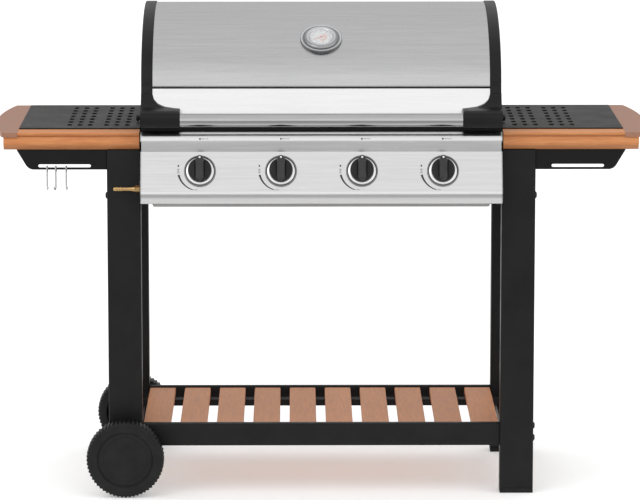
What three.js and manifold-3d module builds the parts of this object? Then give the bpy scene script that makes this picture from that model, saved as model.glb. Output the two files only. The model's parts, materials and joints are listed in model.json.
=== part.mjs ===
// Four-burner gas barbecue grill on a wheeled cart. Millimetres, +Z up, front towards -Y.
// Depths are measured from the front faces of the front posts, and the outermost group centres them.
// Heights of the shelves, firebox, controls and lid are measured from the top of the feet, 10 mm up.
import * as THREE from 'three';
import { mergeVertices } from 'three/addons/utils/BufferGeometryUtils.js';
import Module from 'manifold-3d';

const wasm = await Module();
wasm.setup();

// ---------------------------------------------------------------- driving dimensions
const GAP = 0.3;                 // clearance between touching parts
const SHEET = 2;                 // sheet metal thickness
const SIDES = { left: -1, right: 1 };

const CENTRE_DEPTH = 197.7;      // depth of the middle of the whole object

const POST = { inner: 375, outer: 445, depth: 40, top: 728.7, wall: 2 };
const REAR_POST_DEPTH = 401;
const SHORT_POST_BOTTOM = 45;
const FOOT_HEIGHT = 10;
const BOLT = { radius: 7, length: 4 };
const UPPER_BOLT_Z = 631;
const LOWER_BOLT_Z = [115, 141];

const FRONT_RAIL = { front: 5, rear: 25, bottom: 101, top: 148.5 };
const REAR_RAIL = { front: 401.3, rear: 416, bottom: 106, top: 149 };
const SIDE_RAIL = { inner: 385, outer: 425, bottom: 92, top: 117.7 };
const SLAT = { count: 10, width: 56.4, pitch: 76.7, front: 25.3, rear: 401, bottom: 132, top: 145.5 };
const BATTEN = { halfLength: 410, width: 30, depths: [75, 350] };

const WHEEL = { radius: 81, width: 40, x: -410, frontDepth: -25, rearDepth: 466 };
const AXLE_RADIUS = 5;
const AXLE_CLEARANCE = 0.3;

const SHELF = {
  inner: 377, metalEnd: 629, corner: 661, bulge: 686, apronEnd: 658,
  front: -8, frontRailBack: 46, rearRailFront: 423, back: 439,
  apronBottom: 719, boardBottom: 746, top: 756, metalTop: 758.5,
};
const PERFORATION = {
  columns: [405.5, 427.5, 449, 483, 504.5, 526], rows: 7, firstDepth: 97, pitch: 45.6, width: 10, length: 26,
};
const BRACKET = { front: 5, thickness: 3, bottom: 677, top: 718.7, endTop: 632, endBottom: 607, rear: 433 };
const SLOT = { inner: 478, outer: 587, bottom: 681.5, top: 688 };
const HOOK = { wire: 1.5, bend: 4, x: [-568.7, -550.6, -529.2], twist: [0.45, -0.7, 0.6], bottom: 635 };

const PANEL = { halfWidth: 373.5, faceDepth: -50, faceZ: 681.5, tilt: THREE.MathUtils.degToRad(21.5) };
const KNOB = {
  x: [-250.5, -83.5, 83.5, 250.5], radius: 24.5, gripWidth: 16.5, pointer: 31.5, skirt: 7, face: 21, top: 34,
};
const BEZEL_RADIUS = 33;
const STEM_RADIUS = 4;
const STEM_REACH = 18;           // how far a valve stem stands out of the panel's face
const MANIFOLD = { depth: -25, z: 640.7, radius: 9, halfLength: 368.5 };
const VALVE = { back: -42, front: -14, radius: 12, jet: 4, neck: 7, rise: 27 };
const BARB = { shank: 5, nut: 8, nutStart: 7, nutEnd: 17, tail: 4.4, rib: 5, tip: 4.2, mouth: 2, length: 61.3 };

const FIREBOX = { halfWidth: 374.7, front: 12, back: 440, bottom: 608, top: 769, openHalfWidth: 350 };
const RIM = { front: -12, halfWidth: 375, skirtBottom: 760.5 };
const DRAIN = { halfWidth: 30, depth: [200, 240] };
const RUNNER = { inner: 344, outer: 354, bottom: 602.5, top: 604.2, rear: 430 };
const SIDE_SCREW = { radius: 7, end: 389, depth: 140, z: 767 };
const TAMER_LEDGE = 698;
const BURNER = { radius: 13, z: 661, front: -4, rear: 424, mouth: 9 };
const GRATE = { inner: 4, outer: 334, front: 16, rear: 436, bottom: 742.3, top: 752, bar: 6, bars: 14 };
const RACK = { halfWidth: 343, front: 300, rear: 400, z: 838, foot: 742.3, wire: 3, rods: 6 };
const TRAY = { halfWidth: 340, flange: 350.5, front: 10, rear: 396, rim: 607, floor: 582 };

const LID = { bottom: 770, seam: 851, skinHalfWidth: 349, capHalfWidth: 373, frontDepth: -5, seamDepth: 10 };
const CROWN = { depth: 290, rise: 146, frontRun: 280, rearRun: 160 };
const HINGE = { depth: 452, z: 760, lug: 9, pin: 3, ear: [376, 379] };
const HANDLE = { radius: 14, depth: -42, z: 786, halfLength: 291.7 };
const PROUD = 2;                 // how far the lid's end caps stand out of its skin
const GAUGE = { depth: 70, flange: 43.5, drum: 36, dial: 29, height: 15 };

const MATERIALS = {
  blackSteel: { color: 0x2a2a2b, roughness: 0.55, metalness: 0.3 },
  stainless: { color: 0xd6d6d6, roughness: 0.3, metalness: 0.9 },
  chrome: { color: 0xe2e4e6, roughness: 0.12, metalness: 1 },
  zincSheet: { color: 0xa9abab, roughness: 0.45, metalness: 0.8 },
  wireSteel: { color: 0x9b9b9b, roughness: 0.3, metalness: 0.9 },
  castIron: { color: 0x2c2b2a, roughness: 0.75, metalness: 0.4 },
  blackPlastic: { color: 0x242425, roughness: 0.5, metalness: 0 },
  wood: { color: 0xbd6f3e, roughness: 0.6, metalness: 0 },
  brass: { color: 0xc79a4b, roughness: 0.3, metalness: 0.9 },
  needleRed: { color: 0xc8502a, roughness: 0.5, metalness: 0 },
  darkInsert: { color: 0x4a4a49, roughness: 0.6, metalness: 0.3 },
};

// ---------------------------------------------------------------- solid helpers
const X_AXIS = new THREE.Vector3(1, 0, 0);

function toSolid(geometry) {
  const bare = geometry.clone();
  bare.deleteAttribute('normal');
  bare.deleteAttribute('uv');
  const merged = mergeVertices(bare, 1e-4);
  return new wasm.Manifold(new wasm.Mesh({
    numProp: 3,
    vertProperties: new Float32Array(merged.attributes.position.array),
    triVerts: new Uint32Array(merged.index.array),
  }));
}

function toGeometry(solid) {
  const mesh = solid.getMesh();
  const geometry = new THREE.BufferGeometry();
  geometry.setAttribute('position', new THREE.BufferAttribute(mesh.vertProperties.slice(), 3));
  geometry.setIndex(new THREE.BufferAttribute(mesh.triVerts.slice(), 1));
  const flat = geometry.toNonIndexed();
  flat.computeVertexNormals();
  return flat;
}

function join(geometries) {
  return toGeometry(geometries.map(toSolid).reduce((whole, piece) => whole.add(piece)));
}

function cut(geometry, cutters) {
  return toGeometry(cutters.map(toSolid).reduce((rest, cutter) => rest.subtract(cutter), toSolid(geometry)));
}

function common(geometryA, geometryB) {
  return toGeometry(toSolid(geometryA).intersect(toSolid(geometryB)));
}

// A block from ranges [low, high] in X, in depth and in Z.
function block(x, y, z) {
  const geometry = new THREE.BoxGeometry(x[1] - x[0], y[1] - y[0], z[1] - z[0]);
  return geometry.translate((x[0] + x[1]) / 2, (y[0] + y[1]) / 2, (z[0] + z[1]) / 2);
}

function shapeOf(points, holes = []) {
  const shape = new THREE.Shape(points.map(([a, b]) => new THREE.Vector2(a, b)));
  shape.holes = holes.map((hole) => new THREE.Path(hole.map(([a, b]) => new THREE.Vector2(a, b))));
  return shape;
}

function extrude(shape, length) {
  return new THREE.ExtrudeGeometry(shape, { depth: length, bevelEnabled: false, curveSegments: 6 });
}

// An outline in (depth, Z), drawn out along X between x[0] and x[1].
function alongX(shape, x) {
  const geometry = extrude(shape, x[1] - x[0]);
  geometry.applyMatrix4(new THREE.Matrix4().makeBasis(
    new THREE.Vector3(0, 1, 0), new THREE.Vector3(0, 0, 1), X_AXIS,
  ));
  return geometry.translate(x[0], 0, 0);
}

// An outline in (X, Z), drawn out along the depth between y[0] and y[1].
function alongY(shape, y) {
  const geometry = extrude(shape, y[1] - y[0]);
  return geometry.rotateX(Math.PI / 2).translate(0, y[1], 0);
}

// An outline in (X, depth), drawn out along Z between z[0] and z[1].
function alongZ(shape, z) {
  return extrude(shape, z[1] - z[0]).translate(0, 0, z[0]);
}

// A round bar along axis 'x', 'y' or 'z' between range[0] and range[1]; a and b are the other two places.
function rod(axis, range, a, b, radius, sides = 16) {
  const geometry = new THREE.CylinderGeometry(radius, radius, range[1] - range[0], sides);
  const middle = (range[0] + range[1]) / 2;
  if (axis === 'x') return geometry.rotateZ(Math.PI / 2).translate(middle, a, b);
  if (axis === 'y') return geometry.translate(a, middle, b);
  return geometry.rotateX(Math.PI / 2).translate(a, b, middle);
}

// A turned piece from [radius, height] points; its axis is +Z.
function turned(points, sides) {
  return new THREE.LatheGeometry(points.map(([r, h]) => new THREE.Vector2(r, h)), sides).rotateX(Math.PI / 2);
}

// A round wire of the given radius along points.
function wire(points, radius, steps, sides = 8) {
  const path = new THREE.CatmullRomCurve3(points.map((p) => new THREE.Vector3(...p)));
  const ring = Array.from({ length: sides }, (_, i) => {
    const angle = (2 * Math.PI * i) / sides;
    return [radius * Math.cos(angle), radius * Math.sin(angle)];
  });
  return new THREE.ExtrudeGeometry(shapeOf(ring), { steps, extrudePath: path, bevelEnabled: false });
}

function mesh(name, geometry, material) {
  const piece = new THREE.Mesh(geometry, new THREE.MeshStandardMaterial({ ...MATERIALS[material] }));
  piece.name = name;
  return piece;
}

// The same range on the side given by sign.
function sided(sign, low, high) {
  return sign > 0 ? [low, high] : [-high, -low];
}

// ---------------------------------------------------------------- cart
function post(side, isFront) {
  const sign = SIDES[side];
  const isTall = side === 'right';
  const bottom = isTall ? FOOT_HEIGHT + GAP : SHORT_POST_BOTTOM;
  const front = isFront ? 0 : REAR_POST_DEPTH;
  const depth = [front, front + POST.depth];
  const x = sided(sign, POST.inner, POST.outer);
  const { wall } = POST;
  const tube = cut(block(x, depth, [bottom, POST.top]), [
    block([x[0] + wall, x[1] - wall], [depth[0] + wall, depth[1] - wall], [0, POST.top + 1]),
  ]);
  const middle = front + POST.depth / 2;
  const boltX = sided(sign, POST.outer - 1, POST.outer + BOLT.length);
  const heights = isTall ? [UPPER_BOLT_Z, ...LOWER_BOLT_Z] : [UPPER_BOLT_Z];
  const bolted = join([tube, ...heights.map((z) => rod('x', boltX, middle, z, BOLT.radius, 8))]);
  const borehole = AXLE_RADIUS + AXLE_CLEARANCE;
  const bore = rod('y', [depth[0] - 1, depth[1] + 1], WHEEL.x, WHEEL.radius, borehole, 16);
  const name = `post_${isFront ? 'front' : 'rear'}_${side}`;
  return mesh(name, isTall ? bolted : cut(bolted, [bore]), 'blackSteel');
}

function footCap(isFront) {
  const front = isFront ? 0 : REAR_POST_DEPTH;
  const inset = POST.wall + GAP;
  const base = block([POST.inner, POST.outer], [front, front + POST.depth], [0, FOOT_HEIGHT]);
  const plug = block(
    [POST.inner + inset, POST.outer - inset],
    [front + inset, front + POST.depth - inset],
    [FOOT_HEIGHT / 2, 2.5 * FOOT_HEIGHT],
  );
  return mesh(`foot_cap_${isFront ? 'front' : 'rear'}`, join([base, plug]), 'blackPlastic');
}

function lowerRail(isFront) {
  const { front, rear, bottom, top } = isFront ? FRONT_RAIL : REAR_RAIL;
  const length = POST.inner - GAP;
  const tube = cut(block([-length, length], [front, rear], [bottom, top]), [
    block([-length - 1, length + 1], [front + SHEET, rear - SHEET], [bottom + SHEET, top - SHEET]),
  ]);
  return mesh(`lower_rail_${isFront ? 'front' : 'rear'}`, tube, 'blackSteel');
}

function sideRail(side) {
  const { inner, outer, bottom, top } = SIDE_RAIL;
  const x = sided(SIDES[side], inner, outer);
  const depth = [POST.depth + GAP, REAR_POST_DEPTH - GAP];
  const tube = cut(block(x, depth, [bottom, top]), [
    block([x[0] + SHEET, x[1] - SHEET], [depth[0] - 1, depth[1] + 1], [bottom + SHEET, top - SHEET]),
  ]);
  return mesh(`side_rail_${side}`, tube, 'blackSteel');
}

function slatRack() {
  const pieces = BATTEN.depths.map((depth) => block(
    [-BATTEN.halfLength, BATTEN.halfLength],
    [depth - BATTEN.width / 2, depth + BATTEN.width / 2],
    [SIDE_RAIL.top + GAP, SLAT.bottom + 1],
  ));
  for (let i = 0; i < SLAT.count; i += 1) {
    const x = (i - (SLAT.count - 1) / 2) * SLAT.pitch;
    const across = [x - SLAT.width / 2, x + SLAT.width / 2];
    pieces.push(block(across, [SLAT.front, SLAT.rear], [SLAT.bottom, SLAT.top]));
  }
  return mesh('slat_rack', join(pieces), 'wood');
}

// The wheel's face has its disc on the outer side; its bore is blind, so the axle end is covered.
function wheel(isFront) {
  const half = WHEEL.width / 2;
  const { radius } = WHEEL;
  const bore = AXLE_RADIUS + AXLE_CLEARANCE;
  const disc = 57;
  const profile = [
    [0, half - 6], [bore, half - 6], [bore, -half + 2], [18, -half + 2], [20, half - 12], [56, half - 12],
    [62, -half], [radius - 4, -half], [radius, -half + 5], [radius, half - 5], [radius - 4, half],
    [disc + 4, half], [disc, half - 3], [0, half - 2],
  ];
  const geometry = turned(profile, 24).rotateX(isFront ? Math.PI / 2 : -Math.PI / 2);
  const piece = mesh(`wheel_${isFront ? 'front' : 'rear'}`, geometry, 'blackPlastic');
  piece.position.set(WHEEL.x, isFront ? WHEEL.frontDepth : WHEEL.rearDepth, radius);
  return piece;
}

function axle() {
  const reach = WHEEL.width / 2 - 6.5;
  const range = [WHEEL.frontDepth - reach, WHEEL.rearDepth + reach];
  return mesh('axle', rod('y', range, WHEEL.x, WHEEL.radius, AXLE_RADIUS, 16), 'wireSteel');
}

// ---------------------------------------------------------------- side shelves, built for +X
// Points of the bowed outer edge between two depths, from front to back.
function bowedEdge(from, to, steps) {
  const halfChord = (SHELF.back - SHELF.front) / 2;
  const sagitta = SHELF.bulge - SHELF.corner;
  const radius = (halfChord ** 2 + sagitta ** 2) / (2 * sagitta);
  const middle = (SHELF.back + SHELF.front) / 2;
  return Array.from({ length: steps + 1 }, (_, i) => {
    const depth = from + ((to - from) * i) / steps;
    return [SHELF.bulge - radius + Math.sqrt(radius ** 2 - (depth - middle) ** 2), depth];
  });
}

function shelfFrontRail() {
  const { inner, front, top, boardBottom, apronBottom } = SHELF;
  const board = alongX(shapeOf([
    [front, boardBottom], [SHELF.frontRailBack, boardBottom], [SHELF.frontRailBack, top], [front + 2, top],
    [front, top - 2],
  ]), [inner, SHELF.metalEnd - GAP]);
  const apronFront = front + 2;
  const nose = Array.from({ length: 7 }, (_, i) => {
    const angle = Math.PI - (i / 6) * (Math.PI / 2);
    return [apronFront + 14 + 14 * Math.cos(angle), boardBottom - 13 - 14 * Math.sin(angle)];
  });
  const apron = alongX(shapeOf([
    ...nose.reverse(), [apronFront, boardBottom - 5], [apronFront + 2.5, boardBottom - 3],
    [apronFront + 2.5, boardBottom - GAP], [30, boardBottom - GAP], [30, apronBottom],
  ].reverse()), [inner, SHELF.apronEnd]);
  const spine = block([inner, SHELF.metalEnd - 2], [apronFront + 4, 30], [boardBottom - 4, boardBottom + 2]);
  return join([board, apron, spine]);
}

function shelfOuterBoard() {
  const edge = bowedEdge(SHELF.front, SHELF.back, 16);
  const outline = shapeOf([[SHELF.metalEnd, SHELF.front], ...edge, [SHELF.metalEnd, SHELF.back]]);
  return alongZ(outline, [SHELF.boardBottom, SHELF.top]);
}

function shelfRearRail() {
  const { inner, metalEnd, apronEnd, apronBottom, boardBottom, top } = SHELF;
  return alongY(shapeOf([
    [inner, apronBottom], [apronEnd, apronBottom], [apronEnd, boardBottom - GAP],
    [metalEnd - GAP, boardBottom - GAP], [metalEnd - GAP, top], [inner, top],
  ]), [SHELF.rearRailFront, SHELF.back]);
}

// A dished steel plate with obround perforations.
function shelfInsert() {
  const x = [SHELF.inner, SHELF.metalEnd - GAP];
  const depth = [SHELF.frontRailBack + GAP, SHELF.rearRailFront - GAP];
  const top = SHELF.metalTop;
  const skirt = 6;
  const { width, length } = PERFORATION;
  const straight = (length - width) / 2;
  const obround = (cx, cy) => [
    [cx - width / 2, cy - straight], [cx, cy - length / 2], [cx + width / 2, cy - straight],
    [cx + width / 2, cy + straight], [cx, cy + length / 2], [cx - width / 2, cy + straight],
  ];
  const holes = [];
  for (const cx of PERFORATION.columns) {
    for (let row = 0; row < PERFORATION.rows; row += 1) {
      holes.push(obround(cx, PERFORATION.firstDepth + row * PERFORATION.pitch));
    }
  }
  const outline = [[x[0], depth[0]], [x[1], depth[0]], [x[1], depth[1]], [x[0], depth[1]]];
  const plate = alongZ(shapeOf(outline, holes), [top - SHEET, top]);
  const edge = cut(block(x, depth, [top - skirt, top - SHEET / 2]), [
    block([x[0] + SHEET, x[1] - SHEET], [depth[0] + SHEET, depth[1] - SHEET], [top - skirt - 1, top]),
  ]);
  return join([plate, edge]);
}

// Front plate with the long slot, rear plate, and the flanges and straps that carry the shelf.
function shelfBracket() {
  const { front, thickness, bottom, top, endTop, endBottom, rear } = BRACKET;
  const inner = POST.outer + GAP;
  const outline = [
    [inner, bottom], [endBottom - 7, bottom], [endBottom, bottom + 3], [endTop, top], [inner, top],
  ];
  const end = (SLOT.top - SLOT.bottom) / 2;
  const slot = [
    [SLOT.inner + end, SLOT.bottom], [SLOT.outer - end, SLOT.bottom], [SLOT.outer, SLOT.bottom + end],
    [SLOT.outer - end, SLOT.top], [SLOT.inner + end, SLOT.top], [SLOT.inner, SLOT.bottom + end],
  ];
  const flangeTop = [top - SHEET, top];
  return join([
    alongY(shapeOf(outline, [slot]), [front, front + thickness]),
    alongY(shapeOf(outline), [rear - thickness, rear]),
    block([inner, endTop - 4], [front + 1, front + 25], flangeTop),
    block([inner, endTop - 4], [rear - 15, rear - 1], flangeTop),
    block([inner, inner + SHEET], [front + 1, front + 30], [bottom, top]),
    block([inner, inner + SHEET], [rear - 30, rear - 1], [bottom, top]),
    block([480, 505], [front + 1, rear - 1], flangeTop),
    block([590, 615], [front + 1, rear - 1], flangeTop),
  ]);
}

function sideShelf(side) {
  const group = new THREE.Group();
  group.add(
    mesh(`shelf_front_rail_${side}`, shelfFrontRail(), 'wood'),
    mesh(`shelf_outer_board_${side}`, shelfOuterBoard(), 'wood'),
    mesh(`shelf_rear_rail_${side}`, shelfRearRail(), 'wood'),
    mesh(`shelf_insert_${side}`, shelfInsert(), 'darkInsert'),
    mesh(`shelf_bracket_${side}`, shelfBracket(), 'blackSteel'),
  );
  group.scale.x = SIDES[side];
  return group;
}

// An S-hook over the slot's lower web; its pivot is the middle of the inside of its upper bend.
function hook(index) {
  const web = BRACKET.front + BRACKET.thickness / 2;
  const pivotZ = SLOT.bottom + 1;
  const reach = HOOK.bend + HOOK.wire;
  const centreZ = pivotZ - HOOK.bend;
  const x = HOOK.x[index];
  const twist = HOOK.twist[index];
  const points = [[x, web + reach, centreZ - 7]];
  for (let i = 0; i <= 6; i += 1) {
    const angle = (Math.PI * i) / 6;
    points.push([x, web + reach * Math.cos(angle), centreZ + reach * Math.sin(angle)]);
  }
  const curl = 5;
  const curlZ = HOOK.bottom + HOOK.wire + curl;
  points.push([x, web - reach, curlZ + 18], [x, web - reach, curlZ + 6]);
  for (let i = 0; i <= 5; i += 1) {
    const angle = (Math.PI * i) / 5;
    const out = curl * (1 - Math.cos(angle));
    points.push([x + out * twist, web - reach - out, curlZ - curl * Math.sin(angle)]);
  }
  points.push([x + 2 * curl * twist, web - reach - 2 * curl, curlZ + 5]);
  return mesh(`hook_${index + 1}`, wire(points, HOOK.wire, 22, 5), 'wireSteel');
}

// ---------------------------------------------------------------- control panel
// Frame of a knob: its origin is on the panel's face, +Z points out of the face and +Y up along it.
function onPanel(x) {
  const group = new THREE.Group();
  group.position.set(x, PANEL.faceDepth, PANEL.faceZ);
  group.rotation.x = Math.PI / 2 - PANEL.tilt;
  return group;
}

// Outer line of the folded sheet, from the top at the firebox to the lip at the bottom.
function panelLine() {
  return [
    [10, 760], [-21, 759.5], [-29, 756], [-33.5, 750], [-35, 743], [-35, 719], [-64, 645.5], [-65.5, 638],
    [-64.5, 630], [-61, 621], [-57, 616.5], [-50, 614],
  ];
}

// A strip of sheet to the left of an open line, seen along its direction.
function strip(points, thickness) {
  const offset = points.map(([a, b], i) => {
    const before = points[Math.max(i - 1, 0)];
    const after = points[Math.min(i + 1, points.length - 1)];
    const length = Math.hypot(after[0] - before[0], after[1] - before[1]);
    const along = [(after[0] - before[0]) / length, (after[1] - before[1]) / length];
    return [a - thickness * along[1], b + thickness * along[0]];
  });
  return [...points, ...offset.reverse()];
}

function controlPanel() {
  const line = panelLine();
  const half = PANEL.halfWidth;
  const sheet = alongX(shapeOf(strip(line, SHEET)), [-half, half]);
  const endOutline = shapeOf([...line, [-40, 614], [-2, 640], [10, 740]]);
  const parts = [sheet, alongX(endOutline, [-half, -half + SHEET]), alongX(endOutline, [half - SHEET, half])];
  const cutters = KNOB.x.map((x) => {
    const hole = rod('z', [-12, 8], 0, 0, 8, 12);
    const place = onPanel(x);
    place.updateMatrix();
    return hole.applyMatrix4(place.matrix);
  });
  cutters.push(rod('x', [-half - 5, -half + 5], MANIFOLD.depth, MANIFOLD.z, 6, 12));
  return mesh('control_panel', cut(join(parts), cutters), 'stainless');
}

function bezel() {
  return turned([
    [9, GAP], [BEZEL_RADIUS, GAP], [BEZEL_RADIUS - 1.5, 5], [BEZEL_RADIUS - 4.5, 5],
    [BEZEL_RADIUS - 6, 1.8], [9, 1.8], [9, GAP],
  ], 18);
}

function knob() {
  const body = turned([
    [0, KNOB.skirt], [KNOB.radius, KNOB.skirt], [KNOB.radius, KNOB.face - 3], [KNOB.radius - 2, KNOB.face],
    [0, KNOB.face],
  ], 20);
  const half = KNOB.gripWidth / 2;
  const round = Array.from({ length: 7 }, (_, i) => {
    const angle = (Math.PI * i) / 6;
    return [half * Math.cos(angle), KNOB.pointer - half + half * Math.sin(angle)];
  });
  const tail = [[-half, -KNOB.radius + 4], [0, -KNOB.radius], [half, -KNOB.radius + 4]];
  const grip = alongZ(shapeOf([...round, ...tail]), [KNOB.skirt + 4, KNOB.top]);
  const socket = rod('z', [0, STEM_REACH + 0.5], 0, 0, STEM_RADIUS + GAP, 12);
  return cut(join([body, grip]), [socket]);
}

function stem() {
  return rod('z', [-30, STEM_REACH], 0, 0, STEM_RADIUS, 8);
}

// One length of pipe with four valves, each in line with its knob.
function gasManifold() {
  const { depth, z, radius, halfLength } = MANIFOLD;
  const parts = [rod('x', [-halfLength, halfLength], depth, z, radius, 12)];
  const bores = [];
  for (const x of KNOB.x) {
    const place = onPanel(x);
    place.updateMatrix();
    parts.push(
      rod('z', [VALVE.back, VALVE.front], 0, 0, VALVE.radius, 8).applyMatrix4(place.matrix),
      rod('z', [VALVE.back - 14, VALVE.back + 1], 0, 0, VALVE.jet, 6).applyMatrix4(place.matrix),
      rod('z', [z, z + VALVE.rise], x, depth, VALVE.neck, 6),
    );
    const bore = rod('z', [VALVE.back + 6, VALVE.front + 1], 0, 0, STEM_RADIUS + 0.5, 8);
    bores.push(bore.applyMatrix4(place.matrix));
  }
  return mesh('gas_manifold', cut(join(parts), bores), 'brass');
}

// Inlet fitting at the left end: shank, nut, neck and hose tail with a blind passage at its mouth.
function hoseBarb() {
  const { shank, nut, nutStart, nutEnd, tail, rib, tip, mouth, length } = BARB;
  const profile = [
    [0, 0], [shank, 0], [shank, nutStart], [nut, nutStart], [nut, nutEnd], [tail, nutEnd + 2], [tail, 40],
    [rib, 40.5], [tip, length], [mouth, length], [mouth, length - 9], [0, length - 9],
  ];
  const geometry = turned(profile, 10).rotateY(-Math.PI / 2);
  const piece = mesh('hose_barb', geometry, 'brass');
  piece.position.set(-MANIFOLD.halfLength - GAP, MANIFOLD.depth, MANIFOLD.z);
  return piece;
}

function controls() {
  const group = new THREE.Group();
  KNOB.x.forEach((x, i) => {
    const place = onPanel(x);
    place.add(
      mesh(`bezel_${i + 1}`, bezel(), 'chrome'),
      mesh(`knob_${i + 1}`, knob(), 'blackPlastic'),
      mesh(`valve_stem_${i + 1}`, stem(), 'brass'),
    );
    group.add(place);
  });
  group.add(controlPanel(), gasManifold(), hoseBarb());
  return group;
}

// ---------------------------------------------------------------- firebox and what it holds
function firebox() {
  const { halfWidth, front, back, bottom, top, openHalfWidth } = FIREBOX;
  const x = [-halfWidth, halfWidth];
  const innerX = [-halfWidth + SHEET, halfWidth - SHEET];
  const tub = cut(block(x, [front, back], [bottom, top]), [
    block(innerX, [front + SHEET, back - SHEET], [bottom + SHEET, top + 1]),
  ]);
  const flange = cut(block([-RIM.halfWidth, RIM.halfWidth], [RIM.front, back], [top - 3, top]), [
    block([-openHalfWidth, openHalfWidth], [front + 16, back - 12], [top - 4, top + 1]),
  ]);
  const rimX = [-RIM.halfWidth, RIM.halfWidth];
  const skirt = cut(block(rimX, [RIM.front, front + 1], [RIM.skirtBottom, top - 1]), [
    block([-RIM.halfWidth + SHEET, RIM.halfWidth - SHEET], [RIM.front + SHEET, front - 1], [0, top - 2]),
    block([-POST.inner, POST.inner], [RIM.front + SHEET, front + 2], [0, RIM.skirtBottom + 3]),
  ]);
  const parts = [tub, flange, skirt];
  const across = [-halfWidth + SHEET + 0.7, halfWidth - SHEET - 0.7];
  for (const [ledgeTop, reach] of [[GRATE.bottom - GAP, 12], [TAMER_LEDGE, 14]]) {
    const z = [ledgeTop - SHEET, ledgeTop];
    parts.push(block(across, [front + 1, front + SHEET + reach], z));
    parts.push(block(across, [back - SHEET - reach, back - 1], z));
  }
  const burnerRest = BURNER.z - BURNER.radius - GAP;
  parts.push(block(across, [back - 22, back - 1], [burnerRest - SHEET, burnerRest]));
  const rackRest = [RACK.foot - GAP - SHEET, RACK.foot - GAP];
  const earBottom = 735;
  const runnerDepth = [front + 2, RUNNER.rear];
  const screw = SIDE_SCREW;
  for (const sign of Object.values(SIDES)) {
    const padX = sided(sign, RACK.halfWidth - 6, halfWidth - 1);
    parts.push(
      block(padX, [RACK.front - 12, RACK.front + 8], rackRest),
      block(padX, [RACK.rear - 8, RACK.rear + 12], rackRest),
      block(sided(sign, openHalfWidth, HINGE.ear[1]), [back - 0.5, back + 3], [earBottom, earBottom + 15]),
      block(sided(sign, ...HINGE.ear), [back, HINGE.depth + 10], [earBottom, HINGE.z + 12]),
      rod('x', sided(sign, halfWidth - 1, screw.end), screw.depth, screw.z, screw.radius, 10),
      block(sided(sign, RUNNER.outer - SHEET, RUNNER.outer), runnerDepth, [RUNNER.bottom, bottom + 1]),
      block(sided(sign, RUNNER.inner, RUNNER.outer), runnerDepth, [RUNNER.bottom, RUNNER.top]),
    );
  }
  const burnerHole = [front - 1, front + SHEET + 0.5];
  const holes = KNOB.x.map((kx) => rod('y', burnerHole, kx, BURNER.z, BURNER.radius + 1, 12));
  holes.push(block([-DRAIN.halfWidth, DRAIN.halfWidth], DRAIN.depth, [bottom - 1, bottom + SHEET + 1]));
  for (const sign of Object.values(SIDES)) {
    const earX = sided(sign, halfWidth + 0.2, HINGE.ear[1] + 1);
    holes.push(rod('x', earX, HINGE.depth, HINGE.z, HINGE.pin + GAP, 12));
  }
  return mesh('firebox', cut(join(parts), holes), 'blackSteel');
}

function burner(index) {
  const x = KNOB.x[index];
  const tube = rod('y', [BURNER.front, BURNER.rear], x, BURNER.z, BURNER.radius, 16);
  const bored = cut(tube, [rod('y', [BURNER.front - 1, BURNER.front + 22], x, BURNER.z, BURNER.mouth, 12)]);
  return mesh(`burner_${index + 1}`, bored, 'zincSheet');
}

// One folded sheet with a ridge over each burner.
function flameTamer() {
  const bottom = TAMER_LEDGE + GAP;
  const line = [[-362, bottom + 1.5]];
  for (const x of KNOB.x) {
    line.push([x - 62, bottom + 1.5], [x, bottom + 27], [x + 62, bottom + 1.5]);
  }
  line.push([362, bottom + 1.5]);
  return mesh('flame_tamer', alongY(shapeOf(strip(line, -1.5)), [18, 434]), 'zincSheet');
}

function cookingGrate(side) {
  const { inner, outer, front, rear, bottom, top, bar, bars } = GRATE;
  const x = sided(SIDES[side], inner, outer);
  const parts = [
    block(x, [front, front + 10], [bottom, top]),
    block(x, [rear - 10, rear], [bottom, top]),
    block([x[0] + 1, x[1] - 1], [221, 231], [bottom, top - 4]),
  ];
  const step = (x[1] - x[0] - bar) / (bars - 1);
  for (let i = 0; i < bars; i += 1) {
    const low = x[0] + i * step;
    parts.push(block([low, low + bar], [front + 1, rear - 1], [bottom + 0.5, top - 0.5]));
  }
  return mesh(`cooking_grate_${side}`, join(parts), 'castIron');
}

function warmingRack() {
  const { halfWidth, front, rear, z, foot, wire: r, rods } = RACK;
  const parts = [];
  const ends = [front, rear];
  for (const y of ends) parts.push(block([-halfWidth, halfWidth], [y - r, y + r], [z - r, z + r]));
  for (let i = 1; i < rods; i += 1) {
    const y = front + ((rear - front) * i) / rods;
    parts.push(block([-halfWidth, halfWidth], [y - 2, y + 2], [z - 2, z + 2]));
  }
  for (const x of [-halfWidth + r, 0, halfWidth - r]) {
    parts.push(block([x - r, x + r], [front, rear], [z - 2 * r + 1, z + 1]));
  }
  for (const sign of Object.values(SIDES)) {
    for (const y of ends) {
      parts.push(block(sided(sign, halfWidth - 2 * r, halfWidth), [y - r, y + r], [foot, z]));
    }
  }
  return mesh('warming_rack', join(parts), 'chrome');
}

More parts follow.
